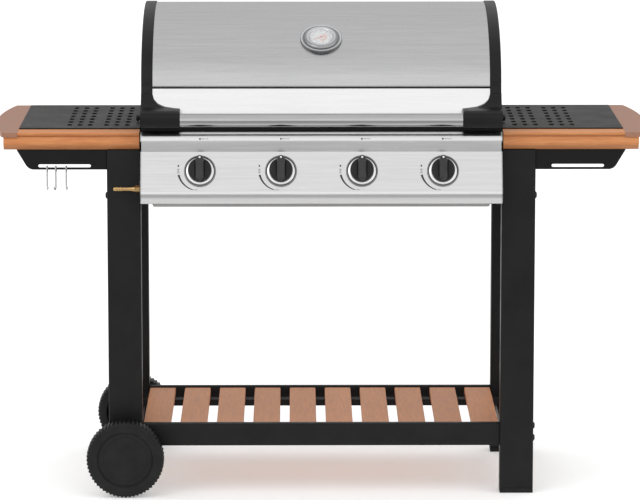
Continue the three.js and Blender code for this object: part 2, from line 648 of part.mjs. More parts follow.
// A pan whose floor falls away behind its front strip; out-turned flanges slide on the firebox runners.
function greaseTray() {
  const { halfWidth, flange, front, rear, rim, floor } = TRAY;
  const pan = alongX(shapeOf([
    [front, rim], [front, rim - 8.5], [front + 110, floor], [rear - 16, floor], [rear, rim],
  ]), [-halfWidth, halfWidth]);
  const hollow = alongX(shapeOf([
    [front + SHEET, rim + 1], [front + SHEET, rim - 6.6], [front + 110, floor + SHEET],
    [rear - 17, floor + SHEET], [rear - 1.6, rim + 1],
  ]), [-halfWidth + SHEET, halfWidth - SHEET]);
  const chamfer = 6;
  const strake = alongY(shapeOf([
    [-flange, rim], [-flange, rim - 9 + chamfer], [-flange + chamfer, rim - 9], [flange - chamfer, rim - 9],
    [flange, rim - 9 + chamfer], [flange, rim],
  ]), [front - SHEET, front + 0.5]);
  const parts = [pan, strake];
  for (const sign of Object.values(SIDES)) {
    parts.push(block(sided(sign, halfWidth - SHEET, flange), [front, rear - 2], [rim - SHEET, rim]));
  }
  return mesh('grease_tray', cut(join(parts), [hollow]), 'zincSheet');
}

// ---------------------------------------------------------------- lid
// Outer line of the lid in (depth, Z), from the front bottom over the top to the back bottom.
function lidLine() {
  const line = [[LID.frontDepth, LID.bottom], [LID.seamDepth - 1.5, LID.seam - 2]];
  const quarter = (run, from, to, steps) => {
    for (let i = 0; i <= steps; i += 1) {
      const angle = from + ((to - from) * i) / steps;
      line.push([CROWN.depth - run * Math.cos(angle), LID.seam + CROWN.rise * Math.sin(angle)]);
    }
  };
  quarter(CROWN.frontRun, 0, Math.PI / 2, 14);
  line.pop();
  quarter(CROWN.rearRun, Math.PI / 2, Math.PI, 9);
  line.push([HINGE.depth, LID.bottom]);
  return line;
}

function offsetLine(points, distance) {
  return strip(points, distance).slice(points.length).reverse();
}

function lidSkin() {
  const half = LID.skinHalfWidth;
  const shell = alongX(shapeOf(strip(lidLine(), -SHEET)), [-half, half]);
  const probe = rod('z', [-20, 20], 0, 0, 5, 12);
  const place = onLid();
  place.updateMatrix();
  return mesh('lid_skin', cut(shell, [probe.applyMatrix4(place.matrix)]), 'stainless');
}

// Closed outline of the lid, grown outwards by distance and cut level at the bottom.
function lidOutline(distance, bottom = LID.bottom) {
  const line = offsetLine(lidLine(), distance);
  line[0][1] = bottom;
  line[line.length - 1][1] = bottom;
  return line;
}

// A moulded end: band, outer wall, rear hinge lug and the bracket that holds the handle. Built for +X.
function lidEndCap() {
  const inner = LID.skinHalfWidth + GAP;
  const outer = LID.capHalfWidth;
  const body = cut(alongX(shapeOf(lidOutline(PROUD)), [inner, outer]), [
    alongX(shapeOf(lidOutline(-8, LID.bottom - 1)), [inner - 1, outer - 3]),
  ]);
  const lugDepth = [HINGE.depth - HINGE.lug, HINGE.depth + HINGE.lug / 2];
  const lug = join([
    rod('x', [inner + 1, outer], HINGE.depth, HINGE.z, HINGE.lug, 20),
    block([inner + 1, outer], lugDepth, [HINGE.z, LID.bottom + 25]),
  ]);
  const reach = HANDLE.depth - HANDLE.radius - 2;
  const low = HANDLE.z - HANDLE.radius - 1;
  const high = HANDLE.z + HANDLE.radius + 6;
  const front = alongY(shapeOf([
    [HANDLE.halfLength + GAP, low], [outer, low], [outer, 836], [inner, 836],
    [inner - 3, 824], [inner - 12, 815], [inner - 26, 809], [HANDLE.halfLength + 12, high], [HANDLE.halfLength + GAP, high - 1],
  ]), [reach - 5, 20]);
  const side = alongX(shapeOf([
    [12, low], [reach + 8, low], [reach, low + 8],
    [reach, high - 12], [reach + 5, high - 4], [reach + 14, high], [-20, high + 3], [-8, high + 12], [-2, 826], [0, 836], [12, 836],
  ]), [HANDLE.halfLength - 5, outer + 1]);
  const clearance = alongX(shapeOf(lidOutline(GAP)), [0, inner]);
  const clearanceEnd = alongX(shapeOf(lidOutline(-8)), [inner - 1, outer - 3]);
  const bracket = cut(common(front, side), [clearance, clearanceEnd]);
  const bore = rod('x', [inner - 1, outer + 1], HINGE.depth, HINGE.z, HINGE.pin + GAP, 12);
  return cut(join([body, lug, bracket]), [bore]);
}

function handle() {
  const range = [-HANDLE.halfLength, HANDLE.halfLength];
  return mesh('lid_handle', rod('x', range, HANDLE.depth, HANDLE.z, HANDLE.radius, 20), 'chrome');
}

function hingePin(side) {
  const head = sided(SIDES[side], HINGE.ear[1] + GAP, HINGE.ear[1] + 3);
  const shaft = sided(SIDES[side], 354, HINGE.ear[1] + 1);
  const pin = join([
    rod('x', shaft, HINGE.depth, HINGE.z, HINGE.pin, 12),
    rod('x', head, HINGE.depth, HINGE.z, 2 * HINGE.pin, 12),
  ]);
  return mesh(`hinge_pin_${side}`, pin, 'wireSteel');
}

// Frame of the thermometer: origin on the lid, +Z out of it, +Y up the slope.
function onLid() {
  const run = (CROWN.depth - GAUGE.depth) / CROWN.frontRun;
  const group = new THREE.Group();
  group.position.set(0, GAUGE.depth, LID.seam + CROWN.rise * Math.sqrt(1 - run ** 2));
  group.rotation.x = Math.atan2(run / CROWN.frontRun, Math.sqrt(1 - run ** 2) / CROWN.rise);
  return group;
}

function thermometer() {
  const { flange, drum, dial, height } = GAUGE;
  const place = onLid();
  const body = turned([
    [0, -45], [4, -45], [4, 1.8], [flange - 4, 1.8], [flange, 2.6], [flange, 4.2], [flange - 5, 5], [drum, 5.5],
    [drum, height - 3], [drum - 3, height], [dial + 2, height], [dial, height - 4], [0, height - 4],
  ], 20);
  const needle = alongZ(shapeOf([
    [-3, -7], [3, -7], [3, 0], [0.8, 19], [-0.8, 19], [-3, 0],
  ]), [height - 4 + GAP, height - 2.5]).rotateZ(THREE.MathUtils.degToRad(120));
  place.add(mesh('thermometer_case', body, 'chrome'), mesh('thermometer_needle', needle, 'needleRed'));
  return place;
}

function lid() {
  const group = new THREE.Group();
  group.add(lidSkin(), handle(), thermometer());
  for (const side of Object.keys(SIDES)) {
    const cap = new THREE.Group();
    cap.add(mesh(`lid_end_cap_${side}`, lidEndCap(), 'blackSteel'));
    cap.scale.x = SIDES[side];
    group.add(cap, hingePin(side));
  }
  return group;
}

// ---------------------------------------------------------------- whole grill
const grill = new THREE.Group();
for (const isFront of [true, false]) {
  grill.add(post('left', isFront), post('right', isFront), footCap(isFront));
  grill.add(lowerRail(isFront), wheel(isFront));
}
grill.add(sideRail('left'), sideRail('right'), slatRack(), axle());

// Everything above the cart's frame; its heights are measured from the top of the feet.
const works = new THREE.Group();
works.add(sideShelf('left'), sideShelf('right'), ...HOOK.x.map((_, i) => hook(i)));
works.add(controls(), firebox(), flameTamer(), warmingRack(), greaseTray());
works.add(...KNOB.x.map((_, i) => burner(i)), cookingGrate('left'), cookingGrate('right'));
works.add(lid());
works.position.z = FOOT_HEIGHT;
grill.add(works);
grill.position.y = -CENTRE_DEPTH;
grill.updateMatrixWorld(true);

export default grill;
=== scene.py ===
"""Looks of a four-burner gas grill, built around its CAD frame. Sizes are in millimetres until placed."""
import json
import math

import bmesh
import bpy
from mathutils import Matrix, Vector

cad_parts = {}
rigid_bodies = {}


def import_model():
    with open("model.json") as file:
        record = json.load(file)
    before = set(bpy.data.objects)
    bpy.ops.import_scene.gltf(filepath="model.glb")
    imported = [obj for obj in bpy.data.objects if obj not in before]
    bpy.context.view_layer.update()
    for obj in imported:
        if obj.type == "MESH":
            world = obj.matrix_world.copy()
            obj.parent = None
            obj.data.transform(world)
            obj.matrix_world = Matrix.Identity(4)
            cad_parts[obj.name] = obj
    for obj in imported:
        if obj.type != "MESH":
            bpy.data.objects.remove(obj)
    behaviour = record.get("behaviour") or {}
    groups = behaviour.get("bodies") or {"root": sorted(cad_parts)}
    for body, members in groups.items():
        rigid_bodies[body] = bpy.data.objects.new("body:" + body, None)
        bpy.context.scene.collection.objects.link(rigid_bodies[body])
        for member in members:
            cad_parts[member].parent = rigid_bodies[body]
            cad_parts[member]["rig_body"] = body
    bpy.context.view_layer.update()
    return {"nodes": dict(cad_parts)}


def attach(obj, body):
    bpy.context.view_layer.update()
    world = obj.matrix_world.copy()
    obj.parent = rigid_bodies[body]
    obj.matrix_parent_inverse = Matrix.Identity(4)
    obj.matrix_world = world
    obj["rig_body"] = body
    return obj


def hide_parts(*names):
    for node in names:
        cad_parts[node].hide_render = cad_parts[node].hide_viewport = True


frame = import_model()

MM = 0.001
CENTRE_DEPTH = 197.7          # depth of the object's middle behind the front posts' faces
FEET = 10.0                   # heights of the works are measured from the top of the feet
SIDES = {"left": -1, "right": 1}

POST = {"inner": 375, "outer": 445, "depth": 40, "rear": 401, "wall": 2, "short_bottom": 45, "top": 728.7}
POST_BOLTS = {"left": (631,), "right": (631, 115, 141)}
RAILS = {"front": ((5, 25), (101, 148.5)), "rear": ((401.3, 416), (106, 149))}
SIDE_RAIL = {"inner": 385, "outer": 425, "bottom": 92, "top": 117.7}
WHEEL = {"radius": 81, "half_width": 20, "x": -410, "teeth": 60}
SLATS = {"count": 10, "width": 56.4, "pitch": 76.7, "front": 25.3, "rear": 401, "bottom": 132, "top": 145.5}
BATTENS = {"depths": (75, 350), "half": 410, "half_width": 15, "bottom": 118}
SHELF = {"inner": 377, "metal_end": 629, "corner": 661, "bulge": 686, "apron_end": 658,
         "front": -8, "rail_back": 46, "rear_front": 423, "back": 439,
         "apron_bottom": 719, "board_bottom": 746, "top": 756, "metal_top": 758.5}
HOLES = {"columns": (405.5, 427.5, 449, 483, 504.5, 526), "rows": 7, "first": 97, "pitch": 45.6,
         "width": 10, "length": 26}
BRACKET = {"front": 5, "rear": 433, "bottom": 677, "top": 718.7, "end_top": 632, "end_bottom": 607,
           "sheet": 3}
SLOT = {"inner": 478, "outer": 587, "bottom": 681.5, "top": 688}
PANEL = {"half": 373.5, "depth": -50, "z": 681.5, "tilt": math.radians(21.5), "sheet": 2}
PANEL_LINE = {
    "corners": [(10, 760), (-35, 760), (-35, 719), (-68.8, 633.2), (-59.2, 614.2), (-50, 614.2)],
    "radii": [0, 25, 4, 35, 3, 0],
}
MARKS = {"reach": 44.5, "foot": -39.4, "bend_z": 747}
KNOB_X = (-250.5, -83.5, 83.5, 250.5)
LID = {"bottom": 770, "seam": 851, "half": 349, "cap": 373, "front": -5, "seam_depth": 10}
CROWN = {"depth": 290, "rise": 146, "front_run": 280, "rear_run": 160}
HINGE = {"depth": 452, "z": 760, "lug": 9}
HANDLE = {"radius": 14, "depth": -42, "z": 786, "half": 291.7}
GAUGE_DEPTH = 70
FIREBOX = {"half": 374.7, "front": 12, "back": 440, "bottom": 608, "top": 769}
RIM = {"half": 375, "front": -12, "skirt": 760.5, "skirt_top": 768}
SIDE_SCREW = {"depth": 140, "z": 767}
PIPE = {"depth": -25, "z": 640.7}
BURNER_Z = 661
RACK = {"half": 340, "front": 300, "rear": 400, "top": 838, "foot": 742.4}


# ---------------------------------------------------------------- places
def ground(x, depth, z):
    """A point of the row frame, in metres, from X, depth and height above the ground in millimetres."""
    return Vector((x, depth - CENTRE_DEPTH, z)) * MM


def works(x, depth, z):
    """The same for the works, whose heights are measured from the top of the feet."""
    return ground(x, depth, z + FEET)


def placed(point, rotation=Matrix.Identity(4)):
    """Matrix that takes local millimetres to the row frame, with its origin at point."""
    return Matrix.Translation(point) @ rotation @ Matrix.Scale(MM, 4)


def on_panel(x):
    """Frame of a knob: +Z points out of the panel's face and +Y up along it."""
    turn = Matrix.Rotation(math.pi / 2 - PANEL["tilt"], 4, "X")
    return placed(works(x, PANEL["depth"], PANEL["z"]), turn)


def on_lid():
    """Frame of the thermometer: +Z points out of the lid and +Y up its slope."""
    run = (CROWN["depth"] - GAUGE_DEPTH) / CROWN["front_run"]
    height = math.sqrt(1 - run ** 2)
    turn = Matrix.Rotation(math.atan2(run / CROWN["front_run"], height / CROWN["rise"]), 4, "X")
    return placed(works(0, GAUGE_DEPTH, LID["seam"] + CROWN["rise"] * height), turn)


# How a place along an axis and two places across it make (X, depth, Z).
ORDER = {"x": lambda t, a, b: (t, a, b), "y": lambda t, a, b: (a, t, b), "z": lambda t, a, b: (a, b, t)}


def linked(name, data):
    """A new object in the scene that shows data."""
    obj = bpy.data.objects.new(name, data)
    bpy.context.scene.collection.objects.link(obj)
    return obj


# ---------------------------------------------------------------- shapes: each gives (points, faces)
def lathe(profile, place, sides=96, teeth=0):
    """A turned shape from (radius, height) or (radius, height, notch), where notch is the teeth's depth."""
    points, faces, rings = [], [], []
    for radius, height, *notch in profile:
        count = 1 if radius == 0 else sides
        rings.append(range(len(points), len(points) + count))
        for i in range(count):
            angle = 2 * math.pi * i / sides
            cut = notch[0] if notch and teeth and (i * teeth * 4 // sides) % 4 >= 2 else 0
            r = radius - cut
            points.append(place @ Vector((r * math.cos(angle), r * math.sin(angle), height)))
    for low, high in zip(rings, rings[1:]):
        for i in range(sides):
            j = (i + 1) % sides
            ring = [low[i % len(low)], low[j % len(low)], high[j % len(high)], high[i % len(high)]]
            faces.append(list(dict.fromkeys(ring)))
    return points, faces


def tube(path, radius, sides=16):
    """A round rod along points in metres, with flat ends."""
    points, faces = [], []
    normal = None
    for i, p in enumerate(path):
        along = (path[min(i + 1, len(path) - 1)] - path[max(i - 1, 0)]).normalized()
        if normal is None:
            normal = along.orthogonal()
        normal = (normal - along * normal.dot(along)).normalized()
        side = along.cross(normal)
        for k in range(sides):
            angle = 2 * math.pi * k / sides
            points.append(p + (normal * math.cos(angle) + side * math.sin(angle)) * radius * MM)
    for i in range(len(path) - 1):
        for k in range(sides):
            a, b = i * sides + k, i * sides + (k + 1) % sides
            faces.append([a, b, b + sides, a + sides])
    last = (len(path) - 1) * sides
    faces += [list(range(sides)), list(range(last, last + sides))]
    return points, faces


def prism(outline, axis, low, high, frame_point=works):
    """An outline drawn out along axis: (depth, Z) along x, (X, Z) along y, (X, depth) along z."""
    count = len(outline)
    points = [frame_point(*ORDER[axis](t, a, b)) for t in (low, high) for a, b in outline]
    faces = [list(range(count)), list(range(count, 2 * count))]
    for i in range(count):
        j = (i + 1) % count
        faces.append([i, j, count + j, count + i])
    return points, faces


def box(x, depth, z, frame_point=works):
    return prism(rectangle(x, depth), "z", *z, frame_point)


def offset(line, distance):
    """An open line in the plane moved to its left by distance."""
    moved = []
    for i, (a, b) in enumerate(line):
        before, after = line[max(i - 1, 0)], line[min(i + 1, len(line) - 1)]
        length = math.hypot(after[0] - before[0], after[1] - before[1])
        step = distance / length
        moved.append((a - step * (after[1] - before[1]), b + step * (after[0] - before[0])))
    return moved


def folded_sheet(line, thickness, low, high, frame_point=works, axis="x"):
    """Sheet metal bent along a (depth, Z) or (X, Z) line; its thickness is to the line's left."""
    inner = offset(line, thickness)
    count = len(line)
    rows = [(t, a, b) for t in (low, high) for row in (line, inner) for a, b in row]
    points = [frame_point(*ORDER[axis](*place)) for place in rows]
    faces = []
    for i in range(count - 1):
        j = i + 1
        faces.append([i, j, 2 * count + j, 2 * count + i])
        faces.append([count + i, count + j, 3 * count + j, 3 * count + i])
        faces.append([i, j, count + j, count + i])
        faces.append([2 * count + i, 2 * count + j, 3 * count + j, 3 * count + i])
    for i in (0, count - 1):
        faces.append([i, count + i, 3 * count + i, 2 * count + i])
    return points, faces


def fillet(points, radius, steps=6, closed=False):
    """The line with each corner rounded; radius is one number or one for each point."""
    count = len(points)
    radii = radius if isinstance(radius, (list, tuple)) else [radius] * count
    result = []
    for i, point in enumerate(points):
        if (not closed and i in (0, count - 1)) or radii[i] <= 0:
            result.append(tuple(point))
            continue
        here = Vector(point)
        before, after = Vector(points[i - 1]) - here, Vector(points[(i + 1) % count]) - here
        half = before.angle(after) / 2
        reach = min(radii[i] / math.tan(half), 0.49 * before.length, 0.49 * after.length)
        start, end = here + before.normalized() * reach, here + after.normalized() * reach
        for k in range(steps + 1):
            t = k / steps
            result.append(tuple(start * (1 - t) ** 2 + here * 2 * t * (1 - t) + end * t ** 2))
    return result


def arc(centre, radius, start, end, steps=8):
    """Points of a circle's arc, with its angles in degrees."""
    angles = [math.radians(start + (end - start) * i / steps) for i in range(steps + 1)]
    return [(centre[0] + radius * math.cos(a), centre[1] + radius * math.sin(a)) for a in angles]


def perforated(outline, holes, axis, low, high, rounding=0.3, frame_point=works):
    """A plate with holes, as points and faces; outline and holes are in the plane that prism uses."""
    curve = bpy.data.curves.new("plate", "CURVE")
    curve.dimensions, curve.fill_mode = "2D", "BOTH"
    curve.extrude, curve.bevel_depth, curve.bevel_resolution = (high - low) / 2 - rounding, rounding, 1
    curve.offset = -rounding
    for loop in [outline, *holes]:
        spline = curve.splines.new("POLY")
        spline.points.add(len(loop) - 1)
        for point, (a, b) in zip(spline.points, loop):
            point.co = (a, b, 0, 1)
        spline.use_cyclic_u = True
    holder = linked("plate", curve)
    mesh = bpy.data.meshes.new_from_object(holder.evaluated_get(bpy.context.evaluated_depsgraph_get()))
    middle = (low + high) / 2
    points = [frame_point(*ORDER[axis](middle + v.co.z, v.co.x, v.co.y)) for v in mesh.vertices]
    faces = [list(f.vertices) for f in mesh.polygons]
    bpy.data.objects.remove(holder)
    bpy.data.meshes.remove(mesh)
    return points, faces


FACING = {
    "x": Matrix.Rotation(math.pi / 2, 4, "Y"), "-x": Matrix.Rotation(-math.pi / 2, 4, "Y"),
    "-y": Matrix.Rotation(math.pi / 2, 4, "X"), "y": Matrix.Rotation(-math.pi / 2, 4, "X"),
    "z": Matrix.Identity(4),
}


def rod(axis, low, high, a, b, radius, frame_point=works, sides=32):
    """A round bar along axis between low and high, with broken edges; a and b are its other two places."""
    length, edge = high - low, min(0.6, 0.2 * radius)
    profile = [(0, 0), (radius - edge, 0), (radius, edge),
               (radius, length - edge), (radius - edge, length), (0, length)]
    return lathe(profile, placed(frame_point(*ORDER[axis](low, a, b)), FACING[axis]), sides)


def stack(layers):
    """A closed shape through loops of points that all have the same number of points."""
    count = len(layers[0])
    points = [p for layer in layers for p in layer]
    faces = [list(range(count)), list(range(len(points) - count, len(points)))]
    for row in range(len(layers) - 1):
        for i in range(count):
            a, b = row * count + i, row * count + (i + 1) % count
            faces.append([a, b, b + count, a + count])
    return points, faces


def raised(outline, place, low, high):
    """A flat outline in a frame's own plane, made solid between two heights above it."""
    return stack([[place @ Vector((a, b, h)) for a, b in outline] for h in (low, high)])


def circle(centre, radius, sides):
    return arc(centre, radius, 0, 360 * (sides - 1) / sides, sides - 1)


def rectangle(a, b, radius=0, steps=5):
    corners = [(a[0], b[0]), (a[1], b[0]), (a[1], b[1]), (a[0], b[1])]
    return fillet(corners, radius, steps, closed=True) if radius else corners


def tubing(a, b, wall, axis, low, high, frame_point):
    """Box section tube with rounded corners and open ends."""
    corner = 3.5
    inner = rectangle((a[0] + wall, a[1] - wall), (b[0] + wall, b[1] - wall), corner - wall)
    return perforated(rectangle(a, b, corner), [inner], axis, low, high, 0.3, frame_point)


def combined(target, tool, operation):
    """Intersection or difference of two closed shapes."""
    holders = []
    for points, faces in (target, tool):
        mesh = bpy.data.meshes.new("work")
        mesh.from_pydata([tuple(p / MM) for p in points], [], faces)
        finish_mesh(mesh, 0)
        holders.append(linked("work", mesh))
    modifier = holders[0].modifiers.new("work", "BOOLEAN")
    modifier.operation, modifier.object, modifier.solver = operation, holders[1], "EXACT"
    graph = bpy.context.evaluated_depsgraph_get()
    mesh = bpy.data.meshes.new_from_object(holders[0].evaluated_get(graph))
    points, faces = [v.co * MM for v in mesh.vertices], [list(f.vertices) for f in mesh.polygons]
    for holder in holders:
        bpy.data.objects.remove(holder)
    bpy.data.meshes.remove(mesh)
    return points, faces


# ---------------------------------------------------------------- pieces
def finish_mesh(mesh, angle):
    """Outward faces and smooth shading, with edges sharper than angle kept sharp."""
    shape = bmesh.new()
    shape.from_mesh(mesh)
    bmesh.ops.recalc_face_normals(shape, faces=shape.faces)
    shape.to_mesh(mesh)
    shape.free()
    mesh.shade_smooth()
    if angle:
        mesh.set_sharp_from_angle(angle=math.radians(angle))


def add_bevel(obj, width, segments=3, angle=35):
    bevel = obj.modifiers.new("rounded_edges", "BEVEL")
    bevel.width, bevel.segments = width * MM, segments
    bevel.limit_method, bevel.angle_limit = "ANGLE", math.radians(angle)
    bevel.harden_normals = True


def make(name, parts, body, look, slot=None, replaces=(), bevel=0, angle=35, segments=3):
    """One visible piece of closed shapes, riding on a CAD body, in the look given; slot is not used."""
    slot = slot or look
    points, faces = [], []
    for part_points, part_faces in parts:
        base = len(points)
        points += part_points
        faces += [[base + i for i in face] for face in part_faces]
    mesh = bpy.data.meshes.new(name)
    mesh.from_pydata([tuple(p) for p in points], [], faces)
    finish_mesh(mesh, 0 if bevel else angle)
    mesh.materials.append(LOOKS[look])
    obj = linked(name, mesh)
    if bevel:
        add_bevel(obj, bevel, segments, angle)
    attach(obj, body)
    if replaces:
        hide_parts(*replaces)


def refined(node, slot, bevel, segments):
    """A finer copy of a CAD node: the same shape with its edges rounded."""
    source = frame["nodes"][node]
    shape = bmesh.new()
    shape.from_mesh(source.data)
    bmesh.ops.remove_doubles(shape, verts=shape.verts, dist=0.01 * MM)
    bmesh.ops.dissolve_limit(shape, angle_limit=math.radians(1), verts=shape.verts, edges=shape.edges)
    bmesh.ops.recalc_face_normals(shape, faces=shape.faces)
    mesh = bpy.data.meshes.new(f"{node}_fine")
    shape.to_mesh(mesh)
    shape.free()
    mesh.shade_smooth()
    mesh.materials.append(LOOKS[slot])
    obj = linked(f"{node}_fine", mesh)
    add_bevel(obj, bevel, segments, 30)
    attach(obj, source["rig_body"])
    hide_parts(node)


# ---------------------------------------------------------------- materials
class Look:
    """A node material on a Principled shader, with coordinates in metres of the row frame."""

    def __init__(self, name, roughness, metallic=0.0, **uniform):
        self.material = bpy.data.materials.new(name)
        self.material.use_nodes = True
        self.tree = self.material.node_tree
        self.shader = next(n for n in self.tree.nodes if n.type == "BSDF_PRINCIPLED")
        self.shader.inputs["Roughness"].default_value = roughness
        self.shader.inputs["Metallic"].default_value = metallic
        for socket, value in uniform.items():
            self.shader.inputs[socket.replace("_", " ").title().replace("Ior", "IOR")].default_value = value
        self.coords = self.node("ShaderNodeTexCoord").outputs["Object"]

    def node(self, kind, **settings):
        made = self.tree.nodes.new(kind)
        for key, value in settings.items():
            setattr(made, key, value)
        return made

    def link(self, output, target):
        self.tree.links.new(output, target)

    def stretched(self, scale):
        mapping = self.node("ShaderNodeMapping")
        mapping.inputs["Scale"].default_value = scale
        self.link(self.coords, mapping.inputs["Vector"])
        return mapping.outputs["Vector"]

    def noise(self, scale, stretch=(1, 1, 1), detail=4.0, rough=0.55, distortion=0.0, vector=None):
        texture = self.node("ShaderNodeTexNoise")
        texture.inputs["Scale"].default_value = scale
        texture.inputs["Detail"].default_value = detail
        texture.inputs["Roughness"].default_value = rough
        texture.inputs["Distortion"].default_value = distortion
        self.link(vector or self.stretched(stretch), texture.inputs["Vector"])
        return texture.outputs["Fac"]

    def ramp(self, value, stops):
        ramp = self.node("ShaderNodeValToRGB")
        elements = ramp.color_ramp.elements
        while len(elements) < len(stops):
            elements.new(0.5)
        for element, (place, color) in zip(elements, stops):
            element.position = place
            element.color = (*color, 1) if isinstance(color, (tuple, list)) else (color, color, color, 1)
        self.link(value, ramp.inputs["Fac"])
        return ramp.outputs["Color"]

    def spread(self, value, low, high):
        """The value, about 0.3 to 0.7, taken to the range from low to high."""
        spread = self.node("ShaderNodeMapRange")
        spread.inputs["From Min"].default_value, spread.inputs["From Max"].default_value = 0.3, 0.7
        spread.inputs["To Min"].default_value, spread.inputs["To Max"].default_value = low, high
        self.link(value, spread.inputs["Value"])
        return spread.outputs["Result"]

    def mixed(self, a, b, factor, blend="MIX"):
        mix = self.node("ShaderNodeMix", data_type="RGBA", blend_type=blend)
        for source, socket in ((a, mix.inputs[6]), (b, mix.inputs[7]), (factor, mix.inputs[0])):
            if isinstance(source, bpy.types.NodeSocket):
                self.link(source, socket)
            elif isinstance(source, (int, float)):
                socket.default_value = source
            else:
                socket.default_value = (*source, 1)
        return mix.outputs[2]

    def color(self, source):
        self.link(source, self.shader.inputs["Base Color"])

    def rough(self, source):
        self.link(source, self.shader.inputs["Roughness"])

    def bump(self, height, strength, distance, after=None):
        bump = self.node("ShaderNodeBump")
        bump.inputs["Strength"].default_value = strength
        bump.inputs["Distance"].default_value = distance * MM
        self.link(height, bump.inputs["Height"])
        if after:
            self.link(after, bump.inputs["Normal"])
        self.link(bump.outputs["Normal"], self.shader.inputs["Normal"])
        return bump.outputs["Normal"]


def brushed(name, dark, light, roughness):
    """Steel brushed along X, with soft smudges."""
    look = Look(name, roughness, 1.0)
    streaks = look.noise(900, (0.02, 1, 1), 3)
    broad = look.noise(160, (1 / 30, 1, 1), 2)
    smudge = look.noise(7, (1, 1, 1), 3)
    tone = look.mixed(look.spread(broad, 0, 1), look.spread(streaks, 0, 1), 0.5)
    look.color(look.ramp(tone, [(0.0, dark), (1.0, light)]))
    worn = look.mixed(look.spread(streaks, roughness - 0.05, roughness + 0.07),
                      look.spread(smudge, roughness - 0.03, roughness + 0.06), 0.4)
    look.rough(worn)
    look.bump(streaks, 0.12, 0.06)
    return look.material


def plated(name, tint, roughness):
    """Polished plate with faint ripples and finger marks."""
    look = Look(name, roughness, 1.0)
    ripple = look.noise(60, detail=2)
    marks = look.noise(18, detail=6, rough=0.7)
    look.color(look.ramp(marks, [(0.3, tuple(0.93 * c for c in tint)), (0.7, tint)]))
    look.rough(look.spread(marks, roughness * 0.7, roughness * 1.8))
    look.bump(ripple, 0.04, 0.2)
    return look.material


def powder_coat(name, dark, light, roughness, grain=1400, depth=0.10):
    """Sprayed and baked paint: fine orange peel, with dust and slight rubbing on it."""
    look = Look(name, roughness, 0.0, specular_ior_level=0.16)
    peel = look.noise(grain, detail=3, rough=0.6)
    rubbed = look.noise(14, detail=6, rough=0.65)
    specks = look.noise(grain * 2.2, detail=2)
    tone = look.mixed(look.spread(rubbed, 0, 1), look.spread(specks, 0, 1), 0.35)
    look.color(look.ramp(tone, [(0.1, dark), (0.9, light)]))
    look.rough(look.spread(rubbed, roughness - 0.06, roughness + 0.08))
    look.bump(peel, 0.35, depth)
    return look.material


def moulded(name, dark, light, roughness, grain=900):
    """Moulded plastic with a fine leather-like grain."""
    look = Look(name, roughness, 0.0, specular_ior_level=0.16)
    cells = look.node("ShaderNodeTexVoronoi", feature="SMOOTH_F1")
    cells.inputs["Scale"].default_value = grain
    look.link(look.coords, cells.inputs["Vector"])
    tone = look.noise(40, detail=5)
    look.color(look.ramp(tone, [(0.3, dark), (0.7, light)]))
    look.rough(look.spread(tone, roughness - 0.05, roughness + 0.06))
    look.bump(cells.outputs["Distance"], 0.25, 0.15)
    return look.material


def cast(name):
    """Rough enamelled cast iron."""
    look = Look(name, 0.6, 0.0, specular_ior_level=0.5)
    pits = look.noise(420, detail=6, rough=0.7)
    tone = look.noise(30, detail=6, rough=0.7)
    look.color(look.ramp(tone, [(0.3, (0.016, 0.0155, 0.015)), (0.75, (0.045, 0.043, 0.04))]))
    look.rough(look.spread(pits, 0.5, 0.72))
    look.bump(pits, 0.6, 0.5)
    return look.material


def hardwood(name, axis, shades, board_pitch=None, painted_shade=None):
    """Oiled hardwood, grain along axis. Boards one pitch apart differ in tone; the last argument, as (height,
    tone), is painted shade that darkens the wood by height.
    """
    long_way = {"x": (0.07, 1, 1), "y": (1, 0.07, 1)}[axis]
    look = Look(name, 0.5, 0.0, specular_ior_level=0.4)
    wander = look.noise(9, long_way, 3)
    bend = look.node("ShaderNodeVectorMath", operation="MULTIPLY_ADD")
    look.link(look.coords, bend.inputs[0])
    bend.inputs[1].default_value = long_way
    scaled = look.node("ShaderNodeVectorMath", operation="SCALE")
    look.link(wander, scaled.inputs[0])
    scaled.inputs["Scale"].default_value = 0.012
    look.link(scaled.outputs["Vector"], bend.inputs[2])
    rings = look.noise(260, vector=bend.outputs["Vector"], detail=5, rough=0.62, distortion=0.4)
    pores = look.noise(1500, tuple(0.03 if s < 1 else 1 for s in long_way), 3)
    patches = look.noise(11, tuple(s * 0.8 for s in long_way), 2)
    grain = look.ramp(rings, [(0.28, shades[0]), (0.5, shades[1]), (0.72, shades[2])])
    toned = look.mixed(grain, look.ramp(patches, [(0.3, shades[1]), (0.7, shades[2])]), 0.35)
    pore_share = look.ramp(pores, [(0.62, 0.0), (0.78, 0.7)])
    tone = look.mixed(toned, tuple(0.55 * c for c in shades[0]), pore_share)
    split = look.node("ShaderNodeSeparateXYZ")
    look.link(look.coords, split.inputs[0])
    if board_pitch:
        cell = look.node("ShaderNodeMath", operation="SNAP")
        look.link(split.outputs["X"], cell.inputs[0])
        cell.inputs[1].default_value = board_pitch * MM
        pick = look.node("ShaderNodeTexWhiteNoise", noise_dimensions="1D")
        look.link(cell.outputs[0], pick.inputs["W"])
        shade = look.ramp(pick.outputs["Value"], [(0.0, 0.86), (1.0, 1.0)])
        tone = look.mixed(tone, shade, 1.0, "MULTIPLY")
    # Painted shade: the tone is darkened by height, as listed, most under the rounded edges.
    if painted_shade:
        low, high = painted_shade[0][0], painted_shade[-1][0]
        level = look.node("ShaderNodeMapRange")
        look.link(split.outputs["Z"], level.inputs["Value"])
        for socket, height in (("From Min", low), ("From Max", high)):
            level.inputs[socket].default_value = (height + FEET) * MM
        shade = look.ramp(level.outputs["Result"], [((h - low) / (high - low), value) for h, value in painted_shade])
        tone = look.mixed(tone, shade, 1.0, "MULTIPLY")
    look.color(tone)
    look.rough(look.spread(rings, 0.42, 0.58))
    fine = look.bump(pores, 0.25, 0.25)
    look.bump(rings, 0.12, 0.3, fine)
    return look.material


